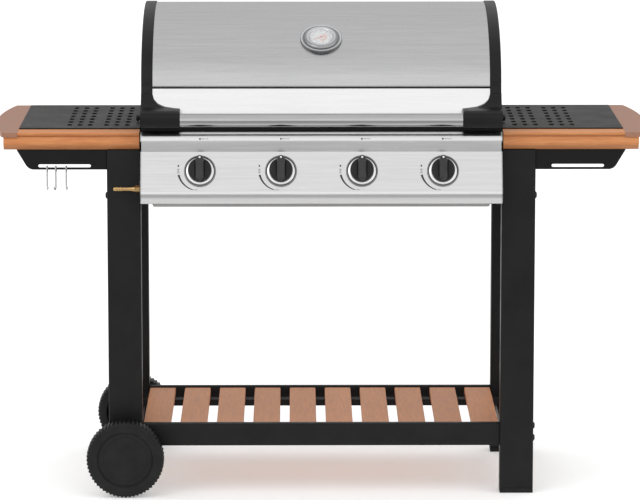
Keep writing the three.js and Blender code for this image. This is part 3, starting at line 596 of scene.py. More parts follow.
def painted(name, color, roughness=0.5):
    """Thin printed or painted marks, very slightly uneven."""
    look = Look(name, roughness)
    tone = look.noise(300, detail=3)
    look.color(look.ramp(tone, [(0.3, tuple(0.8 * c for c in color)), (0.7, color)]))
    look.bump(tone, 0.1, 0.05)
    return look.material


def lens_glass(name):
    """A thin domed glass, mostly clear, with a soft shine and a faint white film that is a painted sheen over
    the dial.
    """
    look = Look(name, 0.04, 0.0, alpha=0.2)
    # The noise varies both the smudged roughness and the painted sheen's tone.
    smudge_and_sheen = look.noise(120, detail=4)
    look.color(look.ramp(smudge_and_sheen, [(0.3, (0.86, 0.87, 0.88)), (0.7, (0.94, 0.94, 0.94))]))
    look.rough(look.spread(smudge_and_sheen, 0.02, 0.08))
    return look.material


RAIL_WOOD = ((0.44, 0.135, 0.038), (0.62, 0.225, 0.07), (0.74, 0.33, 0.13))
# Painted shade on the shelves' rails: the tone at each height, darker under the rounded edges where shade
# falls.
RAIL_PAINTED_SHADE = [(719, 0.56), (727, 0.72), (735, 0.96), (745, 0.98),
              (748, 0.78), (752, 0.78), (754.5, 0.95), (757, 1.0)]
BOARD_WOOD = ((0.24, 0.11, 0.07), (0.34, 0.165, 0.105), (0.42, 0.21, 0.135))
SLAT_WOOD = ((0.44, 0.16, 0.07), (0.64, 0.27, 0.125), (0.78, 0.36, 0.18))
# Each look as its maker and the values that follow the name.
LOOK_VALUES = {
    "black_steel": (powder_coat, (0.007, 0.007, 0.0072), (0.013, 0.013, 0.0133), 0.46),
    "stainless": (brushed, (0.42, 0.42, 0.423), (0.50, 0.50, 0.50), 0.27),
    "bright_steel": (brushed, (0.65, 0.65, 0.65), (0.72, 0.72, 0.72), 0.24),
    "chrome": (plated, (0.55, 0.56, 0.57), 0.1),
    "handle_steel": (brushed, (0.38, 0.38, 0.38), (0.46, 0.46, 0.46), 0.12),
    "zinc_sheet": (brushed, (0.34, 0.34, 0.34), (0.46, 0.46, 0.455), 0.38),
    "wire_steel": (plated, (0.52, 0.52, 0.52), 0.2),
    "cast_iron": (cast,),
    "black_plastic": (moulded, (0.008, 0.008, 0.0082), (0.014, 0.014, 0.0143), 0.44),
    # The rails' wood carries painted shade by height.
    "wood_x": (hardwood, "x", RAIL_WOOD, None, RAIL_PAINTED_SHADE),
    "wood_y": (hardwood, "y", BOARD_WOOD),
    "wood_slats": (hardwood, "y", SLAT_WOOD, SLATS["pitch"]),
    "brass": (plated, (0.52, 0.34, 0.15), 0.24),
    "needle_red": (painted, (0.62, 0.10, 0.04)),
    "bracket_black": (powder_coat, (0.006, 0.006, 0.0062), (0.010, 0.010, 0.0102), 0.5, 900, 0.1),
    "dark_insert": (powder_coat, (0.017, 0.017, 0.0167), (0.028, 0.028, 0.0274), 0.5, 900, 0.13),
    "mark_black": (painted, (0.03, 0.03, 0.03)),
    "mark_white": (painted, (0.85, 0.85, 0.84)),
    "knob_black": (moulded, (0.015, 0.015, 0.0152), (0.023, 0.023, 0.0233), 0.34),
    "knob_grip": (moulded, (0.036, 0.036, 0.0365), (0.05, 0.05, 0.0505), 0.4),
    # Darker copies of the chrome, as painted shade and reflection: the bead round each bezel, and the
    # thermometer's edge, groove and drum.
    "grey_chrome": (plated, (0.32, 0.32, 0.325), 0.14),
    "dark_chrome": (plated, (0.25, 0.25, 0.255), 0.2),
    "mark_grey": (painted, (0.30, 0.30, 0.30)),
    "zone_red": (painted, (0.72, 0.42, 0.34)),
    "panel_steel": (brushed, (0.57, 0.57, 0.57), (0.64, 0.64, 0.64), 0.22),
    "cap_black": (powder_coat, (0.008, 0.008, 0.0082), (0.014, 0.014, 0.0143), 0.38),
    "dial_face": (painted, (0.70, 0.71, 0.71), 0.4),
    "clear_glass": (lens_glass,),
    # Black painted shade, put where holes and grooves would be dark.
    "dark_hole": (painted, (0.006, 0.006, 0.006), 0.9),
}
LOOKS = {name: maker(name, *values) for name, (maker, *values) in LOOK_VALUES.items()}


# ---------------------------------------------------------------- cart
def sided(sign, low, high):
    """A range of X on the given side, from the smaller to the greater."""
    return (low, high) if sign > 0 else (-high, -low)


def outward(sign):
    """Which way a fastener faces on the given side."""
    return "x" if sign > 0 else "-x"


def bolt_head(point, facing, radius=7, height=4):
    """A domed screw head with a six-sided socket."""
    profile = [(0, -1), (radius, -1), (radius, 0.35 * height), (0.93 * radius, 0.62 * height),
               (0.7 * radius, 0.88 * height), (0.42 * radius, height), (0.38 * radius, height),
               (0.36 * radius, 0.4 * height), (0, 0.4 * height)]
    return lathe(profile, placed(point, FACING[facing]), 30)


def posts():
    for side, sign in SIDES.items():
        bottom = POST["short_bottom"] if side == "left" else FEET + 0.3
        for end, front in (("front", 0), ("rear", POST["rear"])):
            x, depth = sided(sign, POST["inner"], POST["outer"]), (front, front + POST["depth"])
            parts = [tubing(x, depth, POST["wall"], "z", bottom, POST["top"], ground)]
            for z in POST_BOLTS[side]:
                middle = front + POST["depth"] / 2
                parts.append(bolt_head(ground(sign * POST["outer"], middle, z), outward(sign)))
            name = f"post_{end}_{side}"
            make(f"{name}_tube", parts, "cart", "black_steel", replaces=[name])


def lower_frame():
    half = POST["inner"] - 0.3
    for end, (depth, z) in RAILS.items():
        rail = tubing(depth, z, POST["wall"], "x", -half, half, ground)
        make(f"lower_rail_{end}_tube", [rail], "cart", "black_steel", replaces=[f"lower_rail_{end}"])
        refined(f"foot_cap_{end}", "black_plastic", 1.8, 3)
    for side, sign in SIDES.items():
        x, z = sided(sign, SIDE_RAIL["inner"], SIDE_RAIL["outer"]), (SIDE_RAIL["bottom"], SIDE_RAIL["top"])
        rail = tubing(x, z, POST["wall"], "y", POST["depth"] + 0.3, POST["rear"] - 0.3, ground)
        make(f"side_rail_{side}_tube", [rail], "cart", "black_steel", replaces=[f"side_rail_{side}"])


def slat_rack():
    s, b = SLATS, BATTENS
    middles = [(i - (s["count"] - 1) / 2) * s["pitch"] for i in range(s["count"])]
    half = s["width"] / 2
    depth, z = (s["front"], s["rear"]), (s["bottom"], s["top"])
    boards = [box((x - half, x + half), depth, z, ground) for x in middles]
    battens = []
    for depth in b["depths"]:
        across = (depth - b["half_width"], depth + b["half_width"])
        battens.append(box((-b["half"], b["half"]), across, (b["bottom"], s["bottom"] - 0.05), ground))
    make("slat_rack_battens", battens, "cart", "black_steel", bevel=1.2)
    make("slat_rack_boards", boards, "cart", "wood_slats", slot="wood", replaces=["slat_rack"], bevel=2)
    head = [(0, 2), (4, 2), (4.3, 0.8), (2.2, 0), (0, 0)]
    screws = []
    for x in middles:
        for depth in b["depths"]:
            screws.append(lathe(head, placed(ground(x, depth, 116.6)), 16))
    make("slat_screws", screws, "cart", "zinc_sheet")


def wheels():
    half, radius = WHEEL["half_width"], WHEEL["radius"]
    profile = [
        (0, 14), (5.3, 14), (5.3, 2 - half), (17, 2 - half), (18, 3 - half), (20, half - 12), (56, half - 12),
        (61, 1.5 - half), (62.5, -half), (76, -half, 0.4), (79.4, 1.6 - half, 1.6), (radius, 4.5 - half, 2.2),
        (radius, half - 4.5, 2.2), (79.4, half - 1.6, 1.8), (75.5, half, 0.8), (70, half, 0), (61, half),
        (58.6, half - 0.8), (57.4, half - 2.8), (56.2, half - 3.4), (54.8, half - 2.6), (53, half - 2.0),
        (46.5, half - 1.7), (45.8, half - 2.3), (45, half - 1.9), (20, half - 1.3), (0, half - 1.2),
    ]
    for end, depth, facing in (("front", -25, "-y"), ("rear", 466, "y")):
        place = placed(ground(WHEEL["x"], depth, radius), FACING[facing])
        parts = [lathe(profile, place, 240, WHEEL["teeth"])]
        mark = rectangle((-5.5, 5.5), (48.5, 50.3), 0.8, 3)
        parts.append(raised(mark, place, half - 2.4, half - 1.0))
        make(f"wheel_{end}_tyre", parts, f"wheel_{end}", "black_plastic", replaces=[f"wheel_{end}"], angle=28)
    axle = rod("y", -38.5, 479.5, WHEEL["x"], radius, 5, ground)
    make("axle_rod", [axle], "cart", "wire_steel", replaces=["axle"])


# ---------------------------------------------------------------- side shelves
def bowed_edge(steps=28):
    """The side shelf's outer edge in (X, depth): an arc from the front corner to the rear one."""
    half_chord = (SHELF["back"] - SHELF["front"]) / 2
    sagitta = SHELF["bulge"] - SHELF["corner"]
    radius = (half_chord ** 2 + sagitta ** 2) / (2 * sagitta)
    middle = (SHELF["back"] + SHELF["front"]) / 2
    line = []
    for i in range(steps + 1):
        from_middle = -half_chord + 2 * half_chord * i / steps
        x = SHELF["bulge"] - radius + math.sqrt(radius ** 2 - from_middle ** 2)
        line.append((x, middle + from_middle))
    return line


def side_shelf(side, sign):
    def here(x, depth, z):
        return works(sign * x, depth, z)

    front_rail(side, here)
    outer_and_rear_boards(side, here)
    insert(side, here)
    bracket(side, here)


def front_rail(side, here):
    """A rounded board over an apron whose face swells and then draws back to its lower edge."""
    s = SHELF
    front, low, end = s["front"], s["apron_bottom"], s["metal_end"]
    under = s["board_bottom"] + 2.6
    board = rectangle((front, s["rail_back"]), (under + 0.2, s["top"]))
    board = fillet(board, [3.2, 0.6, 0.8, 3.8], 8, closed=True)
    face = front + 2
    apron = [(face + 3.2, under), (30, under), (30, low), (face + 9, low),
             (face - 1.5, low + 12), (face - 0.5, low + 20)]
    apron = fillet(apron, [1, 0.8, 1, 6, 18, 12], 8, closed=True)
    joint = (s["board_bottom"] - 2, s["board_bottom"] + 1)
    spine = box((s["inner"] + 1, end - 2), (face + 6, 28), joint, here)
    board = prism(board, "x", s["inner"], end - 0.2, here)
    apron = prism(apron, "x", s["inner"], s["apron_end"], here)
    make(f"shelf_front_rail_{side}_wood", [board, apron, spine], "cart", "wood_x", slot="wood", angle=50,
         replaces=[f"shelf_front_rail_{side}"])


def outer_and_rear_boards(side, here):
    s = SHELF
    end, low = s["metal_end"], s["board_bottom"]
    edge = [(end, s["front"]), *bowed_edge(), (end, s["back"])]
    outline = fillet(edge, [0.5, 5, *[0] * (len(edge) - 4), 5, 0.5], 5, closed=True)
    outer = prism(outline, "z", low, s["top"], here)
    make(f"shelf_outer_board_{side}_wood", [outer], "cart", "wood_y", slot="wood", bevel=3, segments=5,
         replaces=[f"shelf_outer_board_{side}"])
    depth = (s["rear_front"], s["back"])
    rear = [box((s["inner"], end - 0.3), depth, (low - 1.4, s["top"]), here),
            box((s["inner"], s["apron_end"]), depth, (s["apron_bottom"], low - 1.5), here)]
    make(f"shelf_rear_rail_{side}_wood", rear, "cart", "wood_x", slot="wood", bevel=2, segments=4,
         replaces=[f"shelf_rear_rail_{side}"])


def insert(side, here):
    """The perforated steel sheet between the rails, with its edges folded down."""
    s = SHELF
    x, depth = (s["inner"], s["metal_end"] - 0.3), (s["rail_back"] + 0.3, s["rear_front"] - 0.3)
    radius = HOLES["width"] / 2
    straight = HOLES["length"] / 2 - radius
    holes = []
    for column in HOLES["columns"]:
        for row in range(HOLES["rows"]):
            middle = HOLES["first"] + row * HOLES["pitch"]
            holes.append([*arc((column, middle + straight), radius, 0, 180, 8),
                          *arc((column, middle - straight), radius, 180, 360, 8)])
    top = s["metal_top"]
    plate = perforated(rectangle(x, depth, 2), holes, "z", top - 2, top, 0.45, here)
    inner = rectangle((x[0] + 2, x[1] - 2), (depth[0] + 2, depth[1] - 2), 1)
    skirt = perforated(rectangle(x, depth, 2), [inner], "z", top - 6, top - 1, 0.3, here)
    flanges = [box(x, (depth[1] - 1.2, depth[1]), (s["apron_bottom"] + 2, top - 1.5), here),
               box(x, (depth[0], depth[0] + 1.2), (s["board_bottom"] - 8, top - 1.5), here)]
    make(f"shelf_insert_{side}_plate", [plate, skirt, *flanges], "cart", "dark_insert",
         replaces=[f"shelf_insert_{side}"])


def bracket(side, here):
    b = BRACKET
    inner, sheet = POST["outer"] + 0.3, b["sheet"]
    outline = [(inner, b["bottom"]), (b["end_bottom"], b["bottom"]),
               (b["end_top"], b["top"]), (inner, b["top"])]
    outline = fillet(outline, [0.5, 20, 1, 0.5], 8, closed=True)
    end = (SLOT["top"] - SLOT["bottom"]) / 2
    middle = SLOT["bottom"] + end
    slot = [*arc((SLOT["outer"] - end, middle), end, -90, 90, 8),
            *arc((SLOT["inner"] + end, middle), end, 90, 270, 8)]
    flange = (b["top"] - 2, b["top"])
    parts = [
        perforated(outline, [slot], "y", b["front"], b["front"] + sheet, 0.5, here),
        perforated(outline, [], "y", b["rear"] - sheet, b["rear"], 0.5, here),
    ]
    for x, depth, z in (
        ((inner, b["end_top"] - 4), (b["front"] + 1, b["front"] + 25), flange),
        ((inner, b["end_top"] - 4), (b["rear"] - 15, b["rear"] - 1), flange),
        ((inner, inner + 2), (b["front"] + 1, b["front"] + 30), (b["bottom"], b["top"])),
        ((inner, inner + 2), (b["rear"] - 30, b["rear"] - 1), (b["bottom"], b["top"])),
        ((480, 505), (b["front"] + 1, b["rear"] - 1), flange),
        ((590, 615), (b["front"] + 1, b["rear"] - 1), flange),
    ):
        parts.append(prism(rectangle(x, depth, 0.8, 3), "z", *z, here))
    make(f"shelf_bracket_{side}_plates", parts, "cart", "bracket_black", slot="black_steel",
         replaces=[f"shelf_bracket_{side}"])
    rivets = []
    for x in (SLOT["inner"] - 5, SLOT["outer"] + 5):
        rivets.append(bolt_head(here(x, b["front"], middle + 4), "-y", 2.6, 1.4))
    make(f"bracket_rivets_{side}", rivets, "cart", "black_steel")


def hooks():
    web, pivot = BRACKET["front"] + BRACKET["sheet"] / 2, SLOT["bottom"] + 1
    bend, curl = 5.5, 5
    for number, (x, twist) in enumerate(((-568.7, 0.2), (-550.6, -0.3), (-529.2, 0.25)), 1):
        path = [(x, web + bend, pivot - 11), (x, web + bend, pivot - 7)]
        path += [(x, d, z) for d, z in arc((web, pivot - 4), bend, 0, 180, 14)]
        path += [(x, web - bend, z) for z in (672, 664, 656, 648)]
        for d, z in arc((web - bend - curl, 641.5), curl, 0, -205, 14):
            path.append((x + (web - bend - d) * twist, d, z))
        wire = tube([works(*p) for p in path], 1.5, 14)
        make(f"hook_{number}_wire", [wire], f"hook_{number}", "wire_steel",
             replaces=[f"hook_{number}"], angle=50)


# ---------------------------------------------------------------- control panel
def panel_line():
    """The folded sheet's outer line in (depth, Z), from the firebox over the face to the lip."""
    return fillet(PANEL_LINE["corners"], PANEL_LINE["radii"], 14)


def control_panel():
    half, sheet = PANEL["half"], PANEL["sheet"]
    line = panel_line()
    skin = folded_sheet(line, sheet, -half, half)
    for x in KNOB_X:
        stem_hole = lathe([(0, -12), (8, -12), (8, 8), (0, 8)], on_panel(x), 24)
        skin = combined(skin, stem_hole, "DIFFERENCE")
    passage = rod("x", -half - 5, -half + 5, PIPE["depth"], PIPE["z"], 6)
    end_outline = [*line, (-40, 614), (-2, 640), (10, 740)]
    left_end = combined(prism(end_outline, "x", -half, -half + sheet), passage, "DIFFERENCE")
    ends = [left_end, prism(end_outline, "x", half - sheet, half)]
    make("control_panel_skin", [skin, *ends], "cart", "panel_steel", slot="stainless",
         replaces=["control_panel"], angle=26)


def on_bend(x):
    """Frame on the panel's upper bend, where its small marks are: +Z out of the sheet and +Y up along it."""
    line = panel_line()
    steps = zip(line, line[1:])
    high, low = min(steps, key=lambda step: abs((step[0][1] + step[1][1]) / 2 - MARKS["bend_z"]))
    lean = math.atan2(high[0] - low[0], high[1] - low[1])
    middle = works(x, (low[0] + high[0]) / 2, (low[1] + high[1]) / 2)
    return placed(middle, Matrix.Rotation(math.pi / 2 - lean, 4, "X"))


def strip_on_panel(x, centre_line, widths):
    """A thin mark that follows a line on the panel's face, with a width at each point."""
    left, right = [], []
    for i, (a, b) in enumerate(centre_line):
        before, after = centre_line[max(i - 1, 0)], centre_line[min(i + 1, len(centre_line) - 1)]
        length = math.hypot(after[0] - before[0], after[1] - before[1])
        na, nb = -(after[1] - before[1]) / length, (after[0] - before[0]) / length
        left.append((a + na * widths[i] / 2, b + nb * widths[i] / 2))
        right.append((a - na * widths[i] / 2, b - nb * widths[i] / 2))
    return raised(left + right[::-1], on_panel(x), -0.3, 0.25)


def panel_marks():
    """At each knob a tapering arc and small ticks on the face, and a dot with dashes on the bend above."""
    reach, count = MARKS["reach"], 24
    marks, ticks = [], []
    for x in KNOB_X:
        sweep = []
        for i in range(count + 1):
            angle, radius = math.radians(190 + 2.5 * i), reach - 0.11 * i
            sweep.append((radius * math.cos(angle), radius * math.sin(angle)))
        marks.append(strip_on_panel(x, sweep, [4.2 - 2.7 * i / count for i in range(count + 1)]))
        marks.append(strip_on_panel(x, [(-reach, 9.5), (-reach, 13)], [3, 3]))
        marks.append(lathe([(0, -0.6), (1.9, -0.6), (1.9, 0.3), (0, 0.3)], on_bend(x), 16))
        for low, high in ((3.5, 8.5), (10, 12), (13.5, 17)):
            marks.append(raised(rectangle((low, high), (-0.6, 0.6)), on_bend(x), -0.6, 0.25))
        for low, high in ((-4, -2.4), (-0.8, 0.6), (2.4, 4.6)):
            ticks.append(strip_on_panel(x, [(-reach, low), (-reach, high)], [4, 4]))
        for low, high in ((-11.4, -8.6), (-7.4, -5.2)):
            ticks.append(strip_on_panel(x, [(low, MARKS["foot"]), (high, MARKS["foot"])], [1.8, 1.8]))
    make("panel_dial_marks", marks, "cart", "mark_black", slot="black_plastic")
    make("panel_tick_marks", ticks, "cart", "mark_grey", slot="black_plastic")


# The knobs' turned parts, as (radius, height above the panel's face).
BEZEL_DISH = [(9, 0.3), (29.5, 0.3), (29.5, 1.3), (28.9, 1.8), (25.0, 2.6), (22, 2.7), (9, 1.8), (9, 0.3)]
BEZEL_BEAD = [(29.6, 0.3), (33, 0.3), (33, 2.3), (32.6, 3.2), (31.6, 3.8), (30.6, 3.6), (29.9, 3.0),
              (29.6, 0.3)]
VALVE_STEM = [(0, -30), (3.6, -30), (4, -29.6), (4, 17.5), (3.5, 18), (0, 18)]
KNOB_BODY = [(4.3, 7), (23.2, 7), (24.2, 7.5), (24.5, 8.5), (24.3, 16), (23.4, 19), (21.5, 20.6),
             (18.5, 21.2), (0, 21.2), (0, 18.6), (4.3, 18.6), (4.3, 7)]
KNOB_DOT = [(0, 33.4), (2.1, 33.4), (2.1, 34.25), (1.8, 34.4), (0, 34.4)]
GRIP = {"half": 8.25, "tip": 27.5, "tail": -16, "limit": -24.2, "dot": 21.8}


def knobs():
    for number, x in enumerate(KNOB_X, 1):
        spot, knob = on_panel(x), f"knob_{number}"
        make(f"bezel_{number}_dish", [lathe(BEZEL_DISH, spot, 72)], "cart", "bright_steel", slot="chrome",
             replaces=[f"bezel_{number}"], angle=60)
        # The bead is chrome painted darker, a painted dark reflection line round the dish.
        make(f"bezel_{number}_bead", [lathe(BEZEL_BEAD, spot, 72)], "cart", "dark_chrome", slot="chrome",
             angle=60)
        make(f"valve_stem_{number}_rod", [lathe(VALVE_STEM, spot, 24)], f"stem_{number}", "brass",
             replaces=[f"valve_stem_{number}"])
        groove_shadows = [groove_shadow_strip(spot, side * 9.9) for side in (-1, 1)]
        make(f"{knob}_body", [lathe(KNOB_BODY, spot, 72)], knob, "knob_black", slot="black_plastic",
             replaces=[knob], angle=32)
        make(f"{knob}_grip", [knob_grip(spot)], knob, "knob_grip", slot="black_plastic", angle=32)
        # Dark strips painted as the grooves' shadow.
        make(f"{knob}_grooves", groove_shadows, knob, "dark_hole", slot="black_plastic", angle=32)
        dot = lathe(KNOB_DOT, spot @ Matrix.Translation((0, GRIP["dot"], 0)), 20)
        make(f"{knob}_dot", [dot], knob, "mark_white", slot="black_plastic")


def knob_grip(spot):
    """The bar across the knob, rounded at its pointing end and along its top."""
    layers = []
    for inset, height in ((0, 11), (0, 27), (0.5, 31), (1.4, 33.2), (2.6, 34)):
        half = GRIP["half"] - inset
        outline = [*arc((0, GRIP["tip"] - GRIP["half"]), half, 0, 180, 14),
                   *arc((0, GRIP["tail"]), half, 180, 360, 14)]
        layers.append([spot @ Vector((a, max(b, GRIP["limit"] + inset), height)) for a, b in outline])
    return stack(layers)


def groove_shadow_strip(spot, x):
    """A painted groove shadow beside the knob's grip: a thin dark strip just proud of the knob's face."""
    half, ends = 1.2, (17, -16.5)
    middle = sum(ends) / 2
    outline = [(x - half, ends[0]), (x + half, ends[0]), (x + half, ends[1]), (x - half, ends[1])]
    layers = []
    for share, height in ((1, 19.6), (1, 21.6), (0.85, 21.3), (0.5, 21.7)):
        layer = [(x + (a - x) * share, middle + (b - middle) * share, height) for a, b in outline]
        layers.append([spot @ Vector(point) for point in layer])
    return stack(layers)


def gas_line():
    depth, z = PIPE["depth"], PIPE["z"]
    valve = [(4.6, -42), (11, -42), (12, -41), (12, -30), (11.2, -29), (11.2, -15), (10.4, -14), (4.6, -14),
             (4.6, -42)]
    jet = [(0, -56), (3, -56), (4, -54), (4, -41), (0, -41)]
    neck = [(0, -1), (8, -1), (8, 12), (7, 13), (7, 27), (0, 27)]
    parts = [rod("x", -368.5, 368.5, depth, z, 9)]
    for x in KNOB_X:
        spot = on_panel(x)
        parts += [lathe(valve, spot, 32), lathe(jet, spot, 20), lathe(neck, placed(works(x, depth, z)), 6)]
    make("gas_manifold_pipe", parts, "cart", "brass", replaces=["gas_manifold"])
    ribs = []
    for start in (44, 49, 54):
        ribs += [(4.3, start), (5.0, start + 0.6), (4.2, start + 4.2)]
    barb = [(0, 0), (5, 0), (5, 7), (4.6, 7), (4.6, 17), (6, 17.4), (5.2, 20), (4.4, 24), (4.0, 34),
            (4.1, 43), *ribs, (4.0, 60.3), (3.6, 61.3), (2, 61.3), (2, 52.3), (0, 52.3)]
    spot = placed(works(-368.8, depth, z), FACING["-x"])
    nut = lathe([(0, 7), (7, 7), (8, 7.7), (8, 16.3), (7, 17), (0, 17)], spot, 6)
    make("hose_barb_fitting", [lathe(barb, spot, 36), nut], "cart", "brass", replaces=["hose_barb"], angle=40)


# ---------------------------------------------------------------- firebox and what it holds
def firebox():
    half, front, back, bottom, top = (FIREBOX[key] for key in ("half", "front", "back", "bottom", "top"))
    skirt = (RIM["skirt"], RIM["skirt_top"])
    rim_x = (-RIM["half"], RIM["half"])
    burner_holes = [circle((x, BURNER_Z), 14, 28) for x in KNOB_X]
    drain = rectangle((-30, 30), (200, 240))
    rim_opening = rectangle((-350, 350), (28, 428), 6)
    wall = rectangle((-half, half), (bottom, top))
    parts = [
        perforated(wall, burner_holes, "y", front, front + 2),
        perforated(wall, [], "y", back - 2, back),
        perforated(rectangle((-half, half), (front, back)), [drain], "z", bottom, bottom + 2),
        perforated(rectangle(rim_x, (RIM["front"], back), 2), [rim_opening], "z", top - 3, top, 0.8),
        box(rim_x, (RIM["front"], RIM["front"] + 2), skirt),
    ]
    across = (-half + 2.7, half - 2.7)
    for z_top, reach in ((742, 12), (698, 14)):
        parts.append(box(across, (front + 1, front + 2 + reach), (z_top - 2, z_top)))
        parts.append(box(across, (back - 2 - reach, back - 1), (z_top - 2, z_top)))
    parts.append(box(across, (back - 22, back - 1), (645.7, 647.7)))
    for sign in SIDES.values():
        parts += firebox_side(sign)
    make("firebox_shell", parts, "cart", "black_steel", replaces=["firebox"])
    for side, sign in SIDES.items():
        depth, z = SIDE_SCREW["depth"], SIDE_SCREW["z"]
        shank = rod("x", *sided(sign, 373.7, 385), depth, z, 4)
        head = bolt_head(works(sign * 384, depth, z), outward(sign), 7, 5)
        make(f"side_screw_{side}", [shank, head], "cart", "black_steel")


def firebox_side(sign):
    """One end wall with its skirt, rack ledges, hinge ear and tray runner."""
    half, front, back, bottom, top = (FIREBOX[key] for key in ("half", "front", "back", "bottom", "top"))
    parts = [
        perforated(rectangle((front, back), (bottom, top)), [], "x", *sided(sign, half - 2, half)),
        box(sided(sign, 373, RIM["half"]), (RIM["front"], front + 1), (RIM["skirt"], RIM["skirt_top"])),
    ]
    for depth in ((288, 308), (392, 412)):
        parts.append(box(sided(sign, 337, half - 1), depth, (740, 742)))
    parts.append(box(sided(sign, 350, 379), (back - 0.5, back + 3), (735, 750)))
    ear = fillet([(back, 735), (462, 735), (462, 772), (back, 772)], [1, 6, 10, 3], 6, closed=True)
    bore = circle((HINGE["depth"], HINGE["z"]), 3.4, 24)
    parts.append(perforated(ear, [bore], "x", *sided(sign, 376, 379), 0.4))
    parts.append(box(sided(sign, 352, 354), (front + 2, 430), (602.5, 609)))
    parts.append(box(sided(sign, 344, 354), (front + 2, 430), (602.5, 604.2)))
    return parts


def burners():
    profile = [(0, 24), (9, 24), (9, 1), (9.6, 0), (12.2, 0), (13, 0.8), (13, 26), (12.6, 27), (13, 28),
               (13, 424), (11, 427.4), (0, 428)]
    port = [(0, 12.4), (1.3, 12.4), (1.3, 13.15), (0, 13.15)]
    for number, x in enumerate(KNOB_X, 1):
        place = placed(works(x, -4, BURNER_Z), FACING["y"])
        make(f"burner_{number}_tube", [lathe(profile, place, 40)], "cart", "zinc_sheet",
             replaces=[f"burner_{number}"])
        # The ports are not cut: small black discs flush with the tube are painted shade in place of the holes.
        port_shades = []
        for row in (-1, 1):
            turn = Matrix.Rotation(row * math.radians(28), 4, "Y")
            for i in range(34):
                port_shades.append(lathe(port, placed(works(x, 40 + i * 11, BURNER_Z), turn), 8))
        make(f"burner_{number}_ports", port_shades, "cart", "dark_hole", slot="zinc_sheet")


def flame_tamer():
    bottom = 698.3
    line, radii = [(-362, bottom + 1.5)], [0]
    for x in KNOB_X:
        line += [(x - 62, bottom + 1.5), (x, bottom + 27), (x + 62, bottom + 1.5)]
        radii += [5, 7, 5]
    line.append((362, bottom + 1.5))
    sheet = folded_sheet(fillet(line, [*radii, 0], 5), -1.5, 18, 434, works, "y")
    make("flame_tamer_sheet", [sheet], "cart", "zinc_sheet", replaces=["flame_tamer"])


def grates():
    for side, sign in SIDES.items():
        x = sided(sign, 4, 334)
        parts = [box(x, (16, 26), (742.3, 752)), box(x, (426, 436), (742.3, 752)),
                 box((x[0] + 1, x[1] - 1), (221, 231), (742.3, 748))]
        step = (x[1] - x[0] - 6) / 13
        for i in range(14):
            low = x[0] + i * step
            bar = [(low + 0.6, 742.8), (low + 5.4, 742.8), (low + 6, 751.5), (low, 751.5)]
            bar = fillet(bar, [1, 1, 2.2, 2.2], 4, closed=True)
            parts.append(prism(bar, "y", 17, 435))
        make(f"cooking_grate_{side}_bars", parts, "cart", "cast_iron", replaces=[f"cooking_grate_{side}"],
             bevel=0.8)


def warming_rack():
    half, front, rear, top, foot = (RACK[key] for key in ("half", "front", "rear", "top", "foot"))
    parts = []
    for depth in (front, rear):
        corners = [(-half, depth, foot), (-half, depth, top), (half, depth, top), (half, depth, foot)]
        parts.append(tube([works(*p) for p in fillet(corners, 14, 8)], 3, 18))
    for i in range(1, 6):
        parts.append(rod("x", -half - 1, half + 1, front + i * (rear - front) / 6, top, 2, works, 16))
    for x in (-half, 0, half):
        parts.append(rod("y", front + 1, rear - 1, x, top - 3, 2, works, 16))
    make("warming_rack_wires", parts, "cart", "chrome", replaces=["warming_rack"], angle=50)


def grease_tray():
    line = fillet([(11, 607), (11, 598.5), (120, 583), (379, 583), (395, 607)], [0, 3, 20, 6, 0], 5)
    sheet = folded_sheet(line, 1.2, -339, 339)
    sides = [prism(line[::-1], "x", *sided(sign, 338.6, 340)) for sign in SIDES.values()]
    strake = fillet([(-350.5, 607), (-350.5, 598), (350.5, 598), (350.5, 607)], [1, 6, 6, 1], 6, closed=True)
    parts = [sheet, *sides, perforated(strake, [], "y", 8, 10.5, 0.5)]
    for sign in SIDES.values():
        parts.append(box(sided(sign, 339, 350.5), (10, 394), (605.2, 607)))
    make("grease_tray_pan", parts, "grease_tray", "zinc_sheet", replaces=["grease_tray"], angle=40)


# ---------------------------------------------------------------- lid
def crown_line(steps=30):
    """The crown's outer line in (depth, Z), from just above the seam over the top and down the back."""
    line = []
    for run, start, end in ((CROWN["front_run"], 0, 90), (CROWN["rear_run"], 90, 180)):
        for i in range(steps + 1):
            angle = math.radians(start + (end - start) * i / steps)
            height = LID["seam"] + CROWN["rise"] * math.sin(angle)
            line.append((CROWN["depth"] - run * math.cos(angle), height))
    del line[steps]
    return [*line, (451.2, 820), (HINGE["depth"], LID["bottom"])]


def lid_line():
    return [(LID["front"], LID["bottom"]), (LID["seam_depth"] - 1.5, LID["seam"] - 2), *crown_line()]


def lid_skin():
    crown = crown_line()
    hem = fillet([(12.5, 847.6), (8.6, 848.6), (8.2, 851.5), crown[1]], [0, 1.2, 3, 0], 4)
    line = [*hem[:-1], *crown[1:]]
    top = folded_sheet(line, -1.6, -LID["half"], LID["half"])
    make("lid_crown", [top], "lid", "stainless", replaces=["lid_skin"], angle=40)
    face = fillet([(LID["front"], LID["bottom"]), (7.9, 845.6), (14, 846.4)], [0, 1.2, 0], 4)
    panel = folded_sheet(face, -1.6, -LID["half"], LID["half"])
    make("lid_front_panel", [panel], "lid", "bright_steel", slot="stainless", replaces=["lid_skin"], angle=40)


def cap_loop(distance, sign, x):
    """The lid's outline moved outwards by distance, as points at one X."""
    line = offset(lid_line(), distance)
    line[0], line[-1] = (line[0][0], LID["bottom"]), (line[-1][0], LID["bottom"])
    return [works(sign * x, depth, z) for depth, z in line]


def cap_shell(sign):
    """An end cap: a wall across the lid's end, and a rim that meets the skin's edge and is rounded outside."""
    inner, outer = LID["half"] + 0.3, LID["cap"]
    layers = [cap_loop(-8, sign, outer - 3), cap_loop(-8, sign, inner), cap_loop(-1, sign, inner)]
    for distance, back in ((1.6, 0.0), (2, 0.6)):
        layers.append(cap_loop(distance, sign, inner + back))
    for i in range(7):
        angle = math.radians(90 * i / 6)
        layers.append(cap_loop(2 - 4 * (1 - math.cos(angle)), sign, outer - 4 + 4 * math.sin(angle)))
    return stack(layers)


